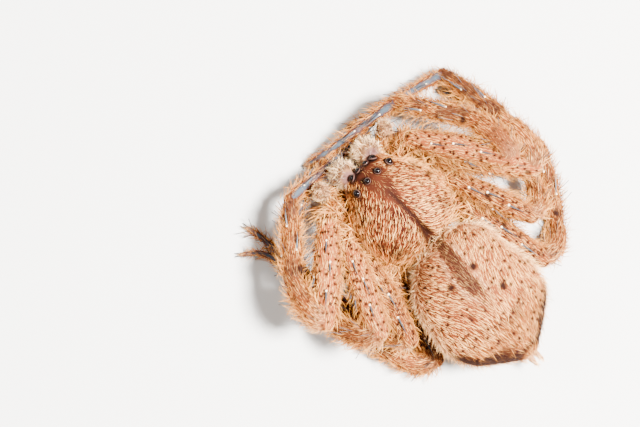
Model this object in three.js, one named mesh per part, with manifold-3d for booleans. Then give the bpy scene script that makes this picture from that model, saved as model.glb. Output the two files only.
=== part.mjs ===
// A life-size huntsman spider at rest: body flat, legs folded back at the knees, feet drawn in beside the head.
// Millimetres, +Z up, floor at z = 0. The head faces -Y, the spider's left side is +X.
import * as THREE from "three";
import { mergeVertices } from "three/addons/utils/BufferGeometryUtils.js";
import Module from "manifold-3d";

const wasm = await Module();
wasm.setup();

const UP = new THREE.Vector3(0, 0, 1);
const FORWARD = new THREE.Vector3(0, -1, 0);

// Sizes, in millimetres.
const JOINT_GAP = 0.3; // clear space where two pieces of the skeleton meet
const EYE_GAP = 0.1; // clear space round an eye in its pocket
const FACET_TOLERANCE = 0.015; // slivers left by a cut are cleaned up to this distance
const LEG_THICKNESS = 0.76; // a leg's height over its width, as its broad side lies up

// The four pairs of legs from front to rear: length and half widths at base, middle and tip of each segment.
const LEG_PAIRS = [
  { hip: [4.6, -4.1, 3.3], size: 1.0, femur: 9.7, patella: 4.6, tibia: 7.0, metatarsus: 7.2, tarsus: 2.8 },
  { hip: [5.0, -1.7, 2.9], size: 0.95, femur: 9.0, patella: 4.7, tibia: 7.2, metatarsus: 7.2, tarsus: 2.7 },
  { hip: [4.9, 0.7, 2.5], size: 0.86, femur: 8.0, patella: 3.7, tibia: 5.6, metatarsus: 5.4, tarsus: 2.4 },
  { hip: [4.2, 3.0, 2.1], size: 0.9, femur: 8.6, patella: 3.7, tibia: 7.0, metatarsus: 7.4, tarsus: 2.6 },
];
const COXA_HALF_WIDTHS = [1.0, 1.05, 0.8];
const FEMUR_HALF_WIDTHS = [0.85, 1.32, 1.1];
const PATELLA_HALF_WIDTHS = [1.0, 1.15, 1.0];
const TIBIA_HALF_WIDTHS = [1.0, 1.0, 0.75];
const FOOT_HALF_WIDTHS = [0.62, 0.52, 0.36];

// How each segment lies: heading in degrees (0 to the tail, 90 away from the body, 180 to the head) and rise.
const POSE = {
  right: [
    { femur: [31, 26], patella: [178, -10], tibia: [209, -23], metatarsus: [261, -20], tarsus: [256, -28] },
    { femur: [37, 13], patella: [166, -1], tibia: [183, -27], metatarsus: [255, -4], tarsus: [254, -16] },
    { femur: [18, 13], patella: [130, -29], tibia: [158, -11], metatarsus: [215, -7], tarsus: [210, -12] },
    { femur: [10, 1], patella: [110, -22], tibia: [146, -2], metatarsus: [194, -2], tarsus: [208, -1] },
  ],
  left: [
    { femur: [48, 17], patella: [188, -12], tibia: [224, -13], metatarsus: [273, -21], tarsus: [276, -15] },
    { femur: [27, 19], patella: [148, -34], tibia: [193, -1], metatarsus: [244, -22], tarsus: [285, -2] },
    { femur: [18, 10], patella: [165, -31], tibia: [163, -2], metatarsus: [171, -10], tarsus: [134, -15] },
    { femur: [17, -10], patella: [139, 12], tibia: [169, -8], metatarsus: [185, -1], tarsus: [171, -1] },
  ],
};

// The head and chest in one shell: stations from front to rear.
const CHEST = {
  y: [-5.0, -4.6, -3.6, -2.0, 0.2, 2.2, 3.3, 3.75],
  halfWidth: [1.7, 2.4, 2.85, 3.8, 4.35, 3.85, 2.7, 1.3],
  top: [4.6, 5.2, 5.85, 6.3, 6.35, 5.7, 4.6, 3.7],
  edge: [3.6, 3.5, 3.3, 3.1, 3.0, 3.0, 3.0, 3.0],
  bottom: [2.6, 2.2, 1.5, 1.0, 0.9, 1.1, 1.7, 2.3],
};
const CHEST_UNDERSIDE = 1.5; // how sharply the sides turn in below the edge

// The abdomen: stations from front to rear.
const ABDOMEN = {
  y: [3.9, 4.5, 6.2, 8.6, 11.4, 13.6, 15.4, 16.4],
  halfWidth: [1.6, 3.0, 4.5, 5.05, 5.35, 4.5, 2.4, 1.1],
  top: [4.6, 5.7, 6.6, 7.0, 7.1, 6.4, 4.7, 3.6],
  edge: [3.7, 3.9, 4.2, 4.3, 4.3, 4.0, 3.3, 2.9],
  bottom: [2.9, 1.7, 0.5, -0.15, -0.25, 0.0, 1.2, 2.0],
};
const ABDOMEN_UNDERSIDE = 1.5;
const ABDOMEN_SWING = { shift: 0.75, over: 4.5 }; // it lies to the left by this much, reached over this length
const NO_SWING = { shift: 0, over: 1 };

// Eyes: half spacing, place along the body, height, half size. Two rows of four.
const EYES = {
  anterior_median: { x: 0.45, y: -4.92, z: 4.75, r: 0.26 },
  anterior_lateral: { x: 1.2, y: -4.78, z: 4.7, r: 0.33 },
  posterior_median: { x: 0.61, y: -3.75, z: 5.66, r: 0.28 },
  posterior_lateral: { x: 1.92, y: -3.62, z: 5.1, r: 0.34 },
};

// Spines and locks of hair: half widths from root to tip and how far the root is sunk in.
const SPINE = { halfWidths: [0.26, 0.22, 0.05], sunk: 0.35 };
const LOCK = { halfWidths: [0.42, 0.36, 0.04], thickness: 0.6, sunk: 0.45 };
const BRISTLE_GAP = 0.25; // clear space between a spine or lock and another piece

// Where the spines and locks stand on each kind of segment: pairs of place along it and angle round it.
const BRISTLE_PLANS = {
  femur: {
    spines: [[0.3, 70], [0.5, 105], [0.72, 80]],
    spineLength: 1.5,
    locks: [[0.3, 5], [0.7, -5], [0.5, 180], [0.88, 178]],
    lockLength: 1.1,
    lean: 0.76,
  },
  patella: { spines: [], spineLength: 0, locks: [[0.55, 0], [0.4, 180]], lockLength: 1.0, lean: 0.72 },
  tibia: {
    spines: [[0.35, 60], [0.62, 125]],
    spineLength: 1.4,
    locks: [[0.25, 0], [0.65, 0], [0.45, 180], [0.82, 180]],
    lockLength: 1.15,
    lean: 0.76,
  },
  foot: {
    spines: [[0.16, 95], [0.42, 80]],
    spineLength: 1.2,
    locks: [[0.35, 0], [0.7, 5], [0.55, 180], [0.85, 180]],
    lockLength: 0.9,
    lean: 0.82,
  },
  jaw: { spines: [], spineLength: 0, locks: [[0.3, 90], [0.55, 60], [0.55, 120]], lockLength: 0.9, lean: 0.82 },
  palp: { spines: [], spineLength: 0, locks: [[0.45, 90], [0.5, 0], [0.5, 180]], lockLength: 0.7, lean: 0.85 },
};
const ABDOMEN_FRINGE = { from: 5.6, to: 15.9, count: 12, length: 1.0, drop: 0.25, swing: ABDOMEN_SWING, lean: 0.42 };
const CHEST_FRINGE = { from: -3.2, to: 3.0, count: 5, length: 0.8, drop: 0.15, swing: NO_SWING, lean: 0.55 };

// Colours of the coat, the bare parts and the eyes.
const COAT = new THREE.MeshStandardMaterial({ color: "#c9a596", roughness: 0.95, metalness: 0 });
const BELLY_COAT = new THREE.MeshStandardMaterial({ color: "#c4a08c", roughness: 0.95, metalness: 0 });
const CREAM_COAT = new THREE.MeshStandardMaterial({ color: "#e8dccb", roughness: 0.95, metalness: 0 });
const BARE_SKIN = new THREE.MeshStandardMaterial({ color: "#a97a63", roughness: 0.6, metalness: 0 });
const FANG = new THREE.MeshStandardMaterial({ color: "#2c1712", roughness: 0.25, metalness: 0 });
const EYE = new THREE.MeshStandardMaterial({ color: "#0d0b0c", roughness: 0.05, metalness: 0 });

// Turns a closed geometry into a solid: seams are merged and triangles without area dropped.
function solidOf(geometry) {
  geometry.deleteAttribute("normal");
  geometry.deleteAttribute("uv");
  const merged = mergeVertices(geometry, 1e-5);
  const kept = [];
  const index = merged.index.array;
  for (let i = 0; i < index.length; i += 3) {
    const [a, b, c] = [index[i], index[i + 1], index[i + 2]];
    if (a !== b && b !== c && c !== a) kept.push(a, b, c);
  }
  const mesh = new wasm.Mesh({
    numProp: 3,
    vertProperties: new Float32Array(merged.attributes.position.array),
    triVerts: new Uint32Array(kept),
  });
  return new wasm.Manifold(mesh);
}

// The largest closed surface of a solid.
function largestOf(solid) {
  const pieces = solid.decompose();
  pieces.sort((a, b) => b.volume() - a.volume());
  return pieces[0];
}

// A named mesh from a solid.
function meshOf(name, solid, material) {
  const { vertProperties, triVerts } = solid.getMesh();
  const geometry = new THREE.BufferGeometry();
  geometry.setAttribute("position", new THREE.BufferAttribute(new Float32Array(vertProperties), 3));
  geometry.setIndex(new THREE.BufferAttribute(new Uint32Array(triVerts), 1));
  geometry.computeVertexNormals();
  const mesh = new THREE.Mesh(geometry, material);
  mesh.name = name;
  return mesh;
}

// The half width at t from its values at base, middle and tip, rounded off at both ends.
function halfWidthAt([base, middle, tip], t, length) {
  const width = t < 0.45
    ? THREE.MathUtils.lerp(base, middle, t / 0.45)
    : THREE.MathUtils.lerp(middle, tip, (t - 0.45) / 0.55);
  const capBase = (0.7 * base) / length;
  const capTip = (0.7 * tip) / length;
  const inBase = Math.max(0, 1 - t / capBase);
  const inTip = Math.max(0, 1 - (1 - t) / capTip);
  return width * Math.sqrt(Math.max(0, 1 - inBase * inBase)) * Math.sqrt(Math.max(0, 1 - inTip * inTip));
}

// A point on a curve, running straight on past its ends.
function pointAlong(curve, t, length) {
  const point = curve.getPointAt(THREE.MathUtils.clamp(t, 0, 1));
  const tangent = curve.getTangentAt(THREE.MathUtils.clamp(t, 0, 1));
  const past = t < 0 ? t : Math.max(0, t - 1);
  return { point: point.addScaledVector(tangent, past * length), tangent };
}

// The two directions across a limb: sideways and to its upper face.
function acrossTo(tangent, up) {
  const side = new THREE.Vector3().crossVectors(tangent, up).normalize();
  const top = new THREE.Vector3().crossVectors(side, tangent);
  return { side, top };
}

// A limb swept along a curve: a turned profile, flattened, and bent to the curve. Grow makes it larger all round.
function limb(curve, halfWidths, { grow = 0, thickness = LEG_THICKNESS, sides = 10, rings = 6, up = UP } = {}) {
  const length = curve.getLength();
  const profile = [new THREE.Vector2(0, -grow / length)];
  for (let i = 1; i <= rings; i++) {
    const t = 0.5 - 0.5 * Math.cos((Math.PI * i) / (rings + 1));
    profile.push(new THREE.Vector2(halfWidthAt(halfWidths, t, length) + grow, t));
  }
  profile.push(new THREE.Vector2(0, 1 + grow / length));
  const turned = new THREE.LatheGeometry(profile, sides);
  const place = turned.attributes.position;
  for (let i = 0; i < place.count; i++) {
    const t = place.getY(i);
    const { point, tangent } = pointAlong(curve, t, length);
    const { side, top } = acrossTo(tangent, up);
    const radius = Math.hypot(place.getX(i), place.getZ(i));
    const flat = radius > 1e-6 ? (thickness * (radius - grow) + grow) / radius : 1;
    point.addScaledVector(side, place.getX(i)).addScaledVector(top, place.getZ(i) * flat);
    place.setXYZ(i, point.x, point.y, point.z);
  }
  return solidOf(turned);
}

// A value of a station table at y, smooth between the stations.
function stationValue(table, key, y) {
  const ys = table.y;
  const last = ys.length - 1;
  let i = 0;
  while (i < last - 1 && y > ys[i + 1]) i++;
  const t = THREE.MathUtils.clamp((y - ys[i]) / (ys[i + 1] - ys[i]), 0, 1);
  const v = (k) => table[key][THREE.MathUtils.clamp(k, 0, last)];
  const slope0 = (v(i + 1) - v(i - 1)) / 2;
  const slope1 = (v(i + 2) - v(i)) / 2;
  const t2 = t * t;
  const t3 = t2 * t;
  return v(i) * (2 * t3 - 3 * t2 + 1) + slope0 * (t3 - 2 * t2 + t) + v(i + 1) * (3 * t2 - 2 * t3) + slope1 * (t3 - t2);
}

// How far to the left a body shell lies, at a distance from its front.
function swingAt({ shift, over }, distance) {
  return shift * THREE.MathUtils.smoothstep(distance, 0, over);
}

// A body shell from a station table: a round dome above the edge, sides turning in below it.
function shell(table, underside, { grow = 0, rings = 12, sides = 22, swing = NO_SWING } = {}) {
  const front = table.y[0];
  const rear = table.y[table.y.length - 1];
  const profile = [new THREE.Vector2(0, 0)];
  for (let i = 1; i <= rings; i++) profile.push(new THREE.Vector2(1, (i - 0.5) / rings));
  profile.push(new THREE.Vector2(0, 1));
  const turned = new THREE.LatheGeometry(profile, sides);
  const place = turned.attributes.position;
  for (let i = 0; i < place.count; i++) {
    const t = place.getY(i);
    const y = THREE.MathUtils.lerp(front, rear, 0.5 - 0.5 * Math.cos(Math.PI * t));
    const pole = Math.hypot(place.getX(i), place.getZ(i)) < 0.5;
    const across = pole ? 0 : place.getX(i);
    const height = pole ? 0 : place.getZ(i);
    const edge = stationValue(table, "edge", y);
    const halfWidth = stationValue(table, "halfWidth", y) + grow;
    const rise = height > 0
      ? stationValue(table, "top", y) + grow - edge
      : edge + grow - stationValue(table, "bottom", y);
    const inward = height < 0 ? Math.pow(Math.abs(across), underside) * Math.sign(across) : across;
    const endPush = pole ? (t < 0.5 ? -grow - 0.25 : grow + 0.25) : 0;
    const x = inward * halfWidth + swingAt(swing, y - front);
    place.setXYZ(i, x, y + endPush, edge + height * rise);
  }
  return solidOf(turned);
}

// A ball, stretched along one axis where asked.
function ball([x, y, z], radius, { grow = 0, stretch = [1, 1, 1], turn = [0, 0, 0], sides = 12 } = {}) {
  const geometry = new THREE.SphereGeometry(1, sides, Math.round(sides * 0.6));
  geometry.scale(radius * stretch[0] + grow, radius * stretch[1] + grow, radius * stretch[2] + grow);
  geometry.rotateX(turn[0]);
  geometry.rotateY(turn[1]);
  geometry.rotateZ(turn[2]);
  geometry.translate(x, y, z);
  return solidOf(geometry);
}

// The direction of a heading and rise on one side of the body.
function direction([heading, rise], side) {
  const h = THREE.MathUtils.degToRad(heading);
  const e = THREE.MathUtils.degToRad(rise);
  return new THREE.Vector3(side * Math.sin(h) * Math.cos(e), Math.cos(h) * Math.cos(e), Math.sin(e));
}

// The joints of one leg from hip to claw.
function legJoints(pair, pose, side) {
  const joints = [new THREE.Vector3(side * pair.hip[0], pair.hip[1], pair.hip[2])];
  for (const segment of ["femur", "patella", "tibia", "metatarsus", "tarsus"]) {
    const last = joints[joints.length - 1];
    joints.push(last.clone().addScaledVector(direction(pose[segment], side), pair[segment]));
  }
  return joints;
}

// A gently bowed curve between two points.
function bowed(from, to, bow) {
  const middle = from.clone().add(to).multiplyScalar(0.5).add(bow);
  return new THREE.QuadraticBezierCurve3(from, middle, to);
}

// Limbs that carry spines and locks of hair, noted as they are made.
const COATED = [];

// Every piece: name, material, gap kept to later pieces and a function that makes its solid, larger by grow.
const pieces = [];
function piece(name, material, make, gap = JOINT_GAP) {
  pieces.push({ name, material, make, gap });
}

function addEyes() {
  for (const [row, eye] of Object.entries(EYES)) {
    for (const [letter, side] of [["l", 1], ["r", -1]]) {
      piece(`eye_${row}_${letter}`, EYE, (grow) => ball([side * eye.x, eye.y, eye.z], eye.r, { grow, sides: 9 }), EYE_GAP);
    }
  }
}

function addBody() {
  piece("cephalothorax", COAT, (grow) => shell(CHEST, CHEST_UNDERSIDE, { grow }));
  piece("abdomen", COAT, (grow) => shell(ABDOMEN, ABDOMEN_UNDERSIDE, { grow, swing: ABDOMEN_SWING }));
}

// One leg's segments, each with its own curve.
function legCurves(pair, pose, side) {
  const joints = legJoints(pair, pose, side);
  const [hip, knee, shin, ankle, heel, claw] = joints;
  const femurWay = knee.clone().sub(hip).normalize();
  const root = new THREE.Vector3(side * 2.3, hip.y * 0.78 + 0.1, 1.9);
  return {
    coxa: bowed(root, hip, new THREE.Vector3(side * 0.2, 0, -0.25)),
    femur: bowed(hip, knee, UP.clone().multiplyScalar(0.35)),
    patella: bowed(knee, shin, femurWay.clone().multiplyScalar(0.32 * pair.patella)),
    tibia: bowed(shin, ankle, femurWay.clone().multiplyScalar(0.04 * pair.tibia)),
    foot: new THREE.CatmullRomCurve3([ankle, ankle.clone().lerp(heel, 0.5), heel, claw]),
  };
}

const SEGMENT_WIDTHS = {
  femur: FEMUR_HALF_WIDTHS,
  patella: PATELLA_HALF_WIDTHS,
  tibia: TIBIA_HALF_WIDTHS,
  foot: FOOT_HALF_WIDTHS,
  coxa: COXA_HALF_WIDTHS,
};

// Rings along and sides round each kind of segment.
const SEGMENT_FACETS = {
  femur: { rings: 6, sides: 10 },
  patella: { rings: 6, sides: 9 },
  tibia: { rings: 6, sides: 9 },
  foot: { rings: 8, sides: 7 },
  coxa: { rings: 4, sides: 7 },
};

// All segments of one kind, on every leg, so that the large ones come first and the small ones fit round them.
function addSegments(kind) {
  for (const [sideName, side] of [["right", -1], ["left", 1]]) {
    LEG_PAIRS.forEach((pair, i) => {
      const curve = legCurves(pair, POSE[sideName][i], side)[kind];
      const widths = SEGMENT_WIDTHS[kind].map((w) => w * pair.size);
      const { rings, sides } = SEGMENT_FACETS[kind];
      const material = kind === "coxa" ? BARE_SKIN : COAT;
      const node = `leg_${sideName[0]}${i + 1}_${kind}`;
      piece(node, material, (grow) => limb(curve, widths, { grow, rings, sides }));
      COATED.push({ node, curve, widths, thickness: LEG_THICKNESS, up: UP, plan: kind });
    });
  }
}

function addJaws() {
  for (const [letter, side] of [["l", 1], ["r", -1]]) {
    const top = new THREE.Vector3(side * 1.38, -4.95, 4.45);
    const bottom = new THREE.Vector3(side * 1.2, -5.7, 0.95);
    const bulge = new THREE.Vector3(side * 0.12, -0.85, 0.25);
    const curve = bowed(top, bottom, bulge);
    const widths = [1.05, 1.2, 0.8];
    piece(`chelicera_${letter}`, CREAM_COAT, (grow) =>
      limb(curve, widths, { grow, thickness: 0.92, sides: 10, up: FORWARD }));
    COATED.push({ node: `chelicera_${letter}`, curve, widths, thickness: 0.92, up: FORWARD, plan: "jaw" });
    const hinge = new THREE.Vector3(side * 1.25, -5.75, 0.75);
    const point = new THREE.Vector3(side * 0.25, -5.2, 0.4);
    piece(`fang_${letter}`, FANG, (grow) =>
      limb(bowed(hinge, point, new THREE.Vector3(0, -0.2, -0.15)), [0.3, 0.24, 0.1], { grow, sides: 8, rings: 5 }));
  }
}

function addPalps() {
  for (const [letter, side] of [["l", 1], ["r", -1]]) {
    const root = new THREE.Vector3(side * 2.1, -4.3, 1.9);
    const elbow = new THREE.Vector3(side * 3.5, -5.45, 3.1);
    const tip = new THREE.Vector3(side * 4.15, -6.1, 4.4);
    const curve = bowed(elbow, tip, new THREE.Vector3(0, -0.2, 0.1));
    const widths = [0.7, 0.85, 0.65];
    piece(`palp_${letter}_tarsus`, CREAM_COAT, (grow) => limb(curve, widths, { grow, thickness: 0.95, sides: 8 }));
    COATED.push({ node: `palp_${letter}_tarsus`, curve, widths, thickness: 0.95, up: UP, plan: "palp" });
    piece(`palp_${letter}_arm`, COAT, (grow) =>
      limb(bowed(root, elbow, new THREE.Vector3(0, -0.4, -0.2)), [0.6, 0.7, 0.65], { grow, thickness: 0.9, sides: 7, rings: 4 }));
  }
}

// Three pairs of short spinnerets on one base.
function addSpinnerets() {
  const root = new THREE.Vector3(ABDOMEN_SWING.shift, 16.3, 2.6);
  const make = (grow) => {
    let solid = ball([ABDOMEN_SWING.shift, 16.75, 2.6], 0.6, { grow, stretch: [1.2, 0.6, 1], sides: 8 });
    for (const side of [1, -1]) {
      for (const [dx, dz, reach, width] of [[0.3, 0.22, 1.1, 0.3], [0.28, -0.28, 0.9, 0.32]]) {
        const from = root.clone().add(new THREE.Vector3(side * dx, 0.2, dz));
        const to = from.clone().add(new THREE.Vector3(side * 0.06, reach, dz * 0.3));
        solid = solid.add(limb(bowed(from, to, new THREE.Vector3()), [width, width, width * 0.6], { grow, sides: 5, rings: 3 }));
      }
    }
    return solid;
  };
  piece("spinnerets", CREAM_COAT, make);
}

// A repeatable random number from 0 to 1.
function seeded(seed) {
  let state = seed >>> 0;
  return () => {
    state = (state + 0x6d2b79f5) >>> 0;
    let t = Math.imul(state ^ (state >>> 15), 1 | state);
    t = (t + Math.imul(t ^ (t >>> 7), 61 | t)) ^ t;
    return ((t ^ (t >>> 14)) >>> 0) / 4294967296;
  };
}

// Where a bristle stands on a limb: t along it, angle round it (0 to the side, 90 on top).
function limbFooting({ curve, widths, thickness, up }, t, angle) {
  const length = curve.getLength();
  const tangent = curve.getTangentAt(t);
  const { side, top } = acrossTo(tangent, up);
  const a = THREE.MathUtils.degToRad(angle);
  const width = halfWidthAt(widths, t, length);
  const foot = curve.getPointAt(t);
  foot.addScaledVector(side, Math.cos(a) * width).addScaledVector(top, Math.sin(a) * width * thickness);
  const out = side.clone().multiplyScalar(Math.cos(a) * thickness).addScaledVector(top, Math.sin(a)).normalize();
  return { foot, out, along: tangent };
}

// Where a lock stands on the rim of a body shell: y along it, on one side, drop below the widest line.
function rimFooting(table, y, side, drop, swing) {
  const halfWidth = stationValue(table, "halfWidth", y);
  const slope = (stationValue(table, "halfWidth", y + 0.2) - stationValue(table, "halfWidth", y - 0.2)) / 0.4;
  const edge = stationValue(table, "edge", y);
  const fall = edge - stationValue(table, "bottom", y);
  const shrink = Math.cos(Math.asin(Math.min(0.9, drop / fall)));
  const x = side * halfWidth * shrink + swingAt(swing, y - table.y[0]);
  const foot = new THREE.Vector3(x, y, edge - drop);
  const out = new THREE.Vector3(side, -slope * 0.8, -0.2 * drop).normalize();
  return { foot, out, along: new THREE.Vector3(0, 1, 0) };
}

// A spine: slim, round, rooted below the skin, leaning to the tip of the leg.
function spine({ foot, out, along }, { length, lean }) {
  const way = out.clone().multiplyScalar(1 - lean).addScaledVector(along, lean).normalize();
  const root = foot.clone().addScaledVector(out, -SPINE.sunk);
  const tip = foot.clone().addScaledVector(way, length);
  return { from: root, to: tip, bow: out.clone().multiplyScalar(0.12 * length), widths: SPINE.halfWidths, thickness: 1, sides: 4 };
}

// A lock: flat, pointed and curved, rooted below the skin.
function lock({ foot, out, along }, { length, lean, width = 1 }) {
  const way = out.clone().multiplyScalar(1 - lean).addScaledVector(along, lean).normalize();
  const root = foot.clone().addScaledVector(out, -LOCK.sunk);
  const tip = foot.clone().addScaledVector(way, length);
  const widths = LOCK.halfWidths.map((w) => w * width);
  return { from: root, to: tip, bow: out.clone().multiplyScalar(0.16 * length), widths, thickness: LOCK.thickness, sides: 4 };
}

// The solid of a spine or lock, larger by grow.
function bristle({ from, to, bow, widths, thickness, sides }, grow) {
  const curve = bowed(from, to, bow);
  const up = Math.abs(curve.getTangentAt(0.5).z) > 0.85 ? FORWARD : UP;
  return limb(curve, widths, { grow, thickness, sides, rings: 2, up });
}

// The spines and locks of a limb, from its plan. Angles alternate so that both edges are fringed.
function limbBristles(limbData, random) {
  const plan = BRISTLE_PLANS[limbData.plan];
  const bristles = [];
  if (!plan) return bristles;
  for (const [t, angle] of plan.spines) {
    bristles.push(spine(limbFooting(limbData, t, angle), { length: plan.spineLength, lean: 0.72 }));
  }
  for (const [t, angle] of plan.locks) {
    const jitter = (random() - 0.5) * 0.06;
    const footing = limbFooting(limbData, THREE.MathUtils.clamp(t + jitter, 0.06, 0.97), angle + (random() - 0.5) * 20);
    bristles.push(lock(footing, { length: plan.lockLength * (0.8 + 0.4 * random()), lean: plan.lean }));
  }
  return bristles;
}

// The fringe of hair locks round a body shell.
function rimBristles(table, { from, to, count, length, drop, swing, lean }, random) {
  const bristles = [];
  for (const side of [1, -1]) {
    for (let i = 0; i < count; i++) {
      const y = THREE.MathUtils.lerp(from, to, i / (count - 1));
      const footing = rimFooting(table, y, side, drop + (i % 2) * 0.5, swing);
      bristles.push(lock(footing, { length: length * (0.75 + 0.5 * random()), lean }));
    }
  }
  return bristles;
}

addEyes();
addBody();
for (const kind of ["femur", "patella", "tibia", "foot", "coxa"]) addSegments(kind);
addJaws();
addPalps();
addSpinnerets();

// Whether the boxes of two solids come within reach of each other.
function near(a, b) {
  const [p, q] = [a.boundingBox(), b.boundingBox()];
  return [0, 1, 2].every((k) => p.min[k] <= q.max[k] && q.min[k] <= p.max[k]);
}

// Each piece is cut back from the ones before it, so that a gap is left all round, and down to the floor.
function fitTogether() {
  const group = new THREE.Group();
  const below = new THREE.BoxGeometry(80, 80, 10);
  below.translate(0, 0, -5);
  const floor = solidOf(below);
  const before = [];
  const cores = new Map();
  for (const { name, make, gap } of pieces) {
    let solid = make(0);
    for (const other of before) if (near(solid, other)) solid = solid.subtract(other);
    if (near(solid, floor)) solid = solid.subtract(floor);
    cores.set(name, largestOf(solid.simplify(FACET_TOLERANCE)));
    before.push(make(gap));
  }
  const grown = growBristles(cores);
  for (const { name, material } of pieces) group.add(meshOf(name, grown.get(name), material));
  return group;
}

// Whether a solid, with its clear space, keeps off every other node and the floor.
function isClear(solid, node, taken) {
  if (solid.boundingBox().min[2] < 0.02) return false;
  for (const [name, others] of taken) {
    if (name === node) continue;
    for (const other of others) if (near(solid, other) && !solid.intersect(other).isEmpty()) return false;
  }
  return true;
}

// Roots each spine and lock in its node, shorter where it would reach another node, and leaves it out if still too near.
function growBristles(cores) {
  const taken = new Map([...cores].map(([name, core]) => [name, [core]]));
  const grown = new Map(cores);
  const random = seeded(20251);
  const wanted = COATED.map((data) => [data.node, limbBristles(data, random)]);
  wanted.push(["abdomen", rimBristles(ABDOMEN, ABDOMEN_FRINGE, random)]);
  wanted.push(["cephalothorax", rimBristles(CHEST, CHEST_FRINGE, random)]);
  for (const [node, bristles] of wanted) {
    for (const data of bristles) {
      for (const share of [1, 0.75]) {
        const fitted = { ...data, to: data.from.clone().lerp(data.to, share) };
        const solid = bristle(fitted, 0);
        if (solid.boundingBox().min[2] < 0.05 || !isClear(bristle(fitted, BRISTLE_GAP), node, taken)) continue;
        grown.set(node, grown.get(node).add(solid));
        taken.get(node).push(solid);
        break;
      }
    }
    grown.set(node, largestOf(grown.get(node).simplify(FACET_TOLERANCE)));
  }
  return grown;
}

const spider = fitTogether();

// The origin is the middle of the outer box, on the floor.
function centre(group) {
  const box = new THREE.Box3().setFromObject(group);
  const middle = box.getCenter(new THREE.Vector3());
  group.position.set(-middle.x, -middle.y, -box.min.z);
}
centre(spider);

export default spider;
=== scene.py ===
"""A huntsman spider at rest, life size: skin, coat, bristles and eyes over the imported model.

All shapes are worked out in the spider's own millimetres (+Z up, floor at 0, head toward -Y, its left side
toward +X) and put into the model's metres as the last step of each piece.
"""
import math
from functools import partial

import bmesh
import bpy
import numpy as np
from mathutils import Matrix, Vector, kdtree


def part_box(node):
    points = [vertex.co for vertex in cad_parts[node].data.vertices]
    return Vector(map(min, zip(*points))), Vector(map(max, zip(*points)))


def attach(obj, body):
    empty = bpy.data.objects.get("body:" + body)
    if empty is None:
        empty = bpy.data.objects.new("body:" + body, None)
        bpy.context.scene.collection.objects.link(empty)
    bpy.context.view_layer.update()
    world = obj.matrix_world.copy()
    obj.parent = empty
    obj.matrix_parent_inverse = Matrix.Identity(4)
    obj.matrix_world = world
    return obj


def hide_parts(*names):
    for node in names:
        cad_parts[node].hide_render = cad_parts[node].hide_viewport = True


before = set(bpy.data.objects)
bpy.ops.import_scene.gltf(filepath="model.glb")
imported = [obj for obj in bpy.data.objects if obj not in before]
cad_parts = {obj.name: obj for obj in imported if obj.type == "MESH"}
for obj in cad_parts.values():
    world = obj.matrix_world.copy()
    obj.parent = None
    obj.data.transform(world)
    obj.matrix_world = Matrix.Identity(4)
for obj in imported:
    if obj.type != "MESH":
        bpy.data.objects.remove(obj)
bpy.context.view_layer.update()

MM = 0.001

# The four pairs of legs from front to rear, in millimetres.
LEG_PAIRS = [
    dict(hip=(4.6, -4.1, 3.3), size=1.0, femur=9.7, patella=4.6, tibia=7.0, metatarsus=7.2, tarsus=2.8),
    dict(hip=(5.0, -1.7, 2.9), size=0.95, femur=9.0, patella=4.7, tibia=7.2, metatarsus=7.2, tarsus=2.7),
    dict(hip=(4.9, 0.7, 2.5), size=0.86, femur=8.0, patella=3.7, tibia=5.6, metatarsus=5.4, tarsus=2.4),
    dict(hip=(4.2, 3.0, 2.1), size=0.9, femur=8.6, patella=3.7, tibia=7.0, metatarsus=7.4, tarsus=2.6),
]
# Half widths at base, middle and tip of each segment.
SEGMENT_WIDTHS = {
    "coxa": (1.0, 1.05, 0.8),
    "femur": (0.85, 1.32, 1.1),
    "patella": (1.0, 1.15, 1.0),
    "tibia": (1.0, 1.0, 0.75),
    "foot": (0.62, 0.52, 0.36),
}
LEG_THICKNESS = 0.76  # a leg's height over its width, as its broad side lies up
# How each segment lies: heading in degrees (0 to the tail, 90 away from the body, 180 to the head) and rise.
SEGMENTS = ("femur", "patella", "tibia", "metatarsus", "tarsus")
POSE = {
    "r": [
        ((31, 26), (178, -10), (209, -23), (261, -20), (256, -28)),
        ((37, 13), (166, -1), (183, -27), (255, -4), (254, -16)),
        ((18, 13), (130, -29), (158, -11), (215, -7), (210, -12)),
        ((10, 1), (110, -22), (146, -2), (194, -2), (208, -1)),
    ],
    "l": [
        ((48, 17), (188, -12), (224, -13), (273, -21), (276, -15)),
        ((27, 19), (148, -34), (193, -1), (244, -22), (285, -2)),
        ((18, 10), (165, -31), (163, -2), (171, -10), (134, -15)),
        ((17, -10), (139, 12), (169, -8), (185, -1), (171, -1)),
    ],
}

# The head and chest shell, and the abdomen: stations from front to rear.
CHEST = dict(
    y=(-5.0, -4.6, -3.6, -2.0, 0.2, 2.2, 3.3, 3.75),
    half_width=(1.7, 2.4, 2.85, 3.8, 4.35, 3.85, 2.7, 1.3),
    top=(4.6, 5.2, 5.85, 6.3, 6.35, 5.7, 4.6, 3.7),
    edge=(3.6, 3.5, 3.3, 3.1, 3.0, 3.0, 3.0, 3.0),
    bottom=(2.6, 2.2, 1.5, 1.0, 0.9, 1.1, 1.7, 2.3),
    shift=0.0,
    shift_over=1.0,
)
ABDOMEN = dict(
    y=(3.9, 4.5, 6.2, 8.6, 11.4, 13.6, 15.4, 16.4),
    half_width=(1.6, 3.0, 4.5, 5.05, 5.35, 4.5, 2.4, 1.1),
    top=(4.6, 5.7, 6.6, 7.0, 7.1, 6.4, 4.7, 3.6),
    edge=(3.7, 3.9, 4.2, 4.3, 4.3, 4.0, 3.3, 2.9),
    bottom=(2.9, 1.7, 0.5, -0.15, -0.25, 0.0, 1.2, 2.0),
    shift=0.75,
    shift_over=4.5,
)
UNDERSIDE = 1.5  # how sharply both shells turn in below their widest line

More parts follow.
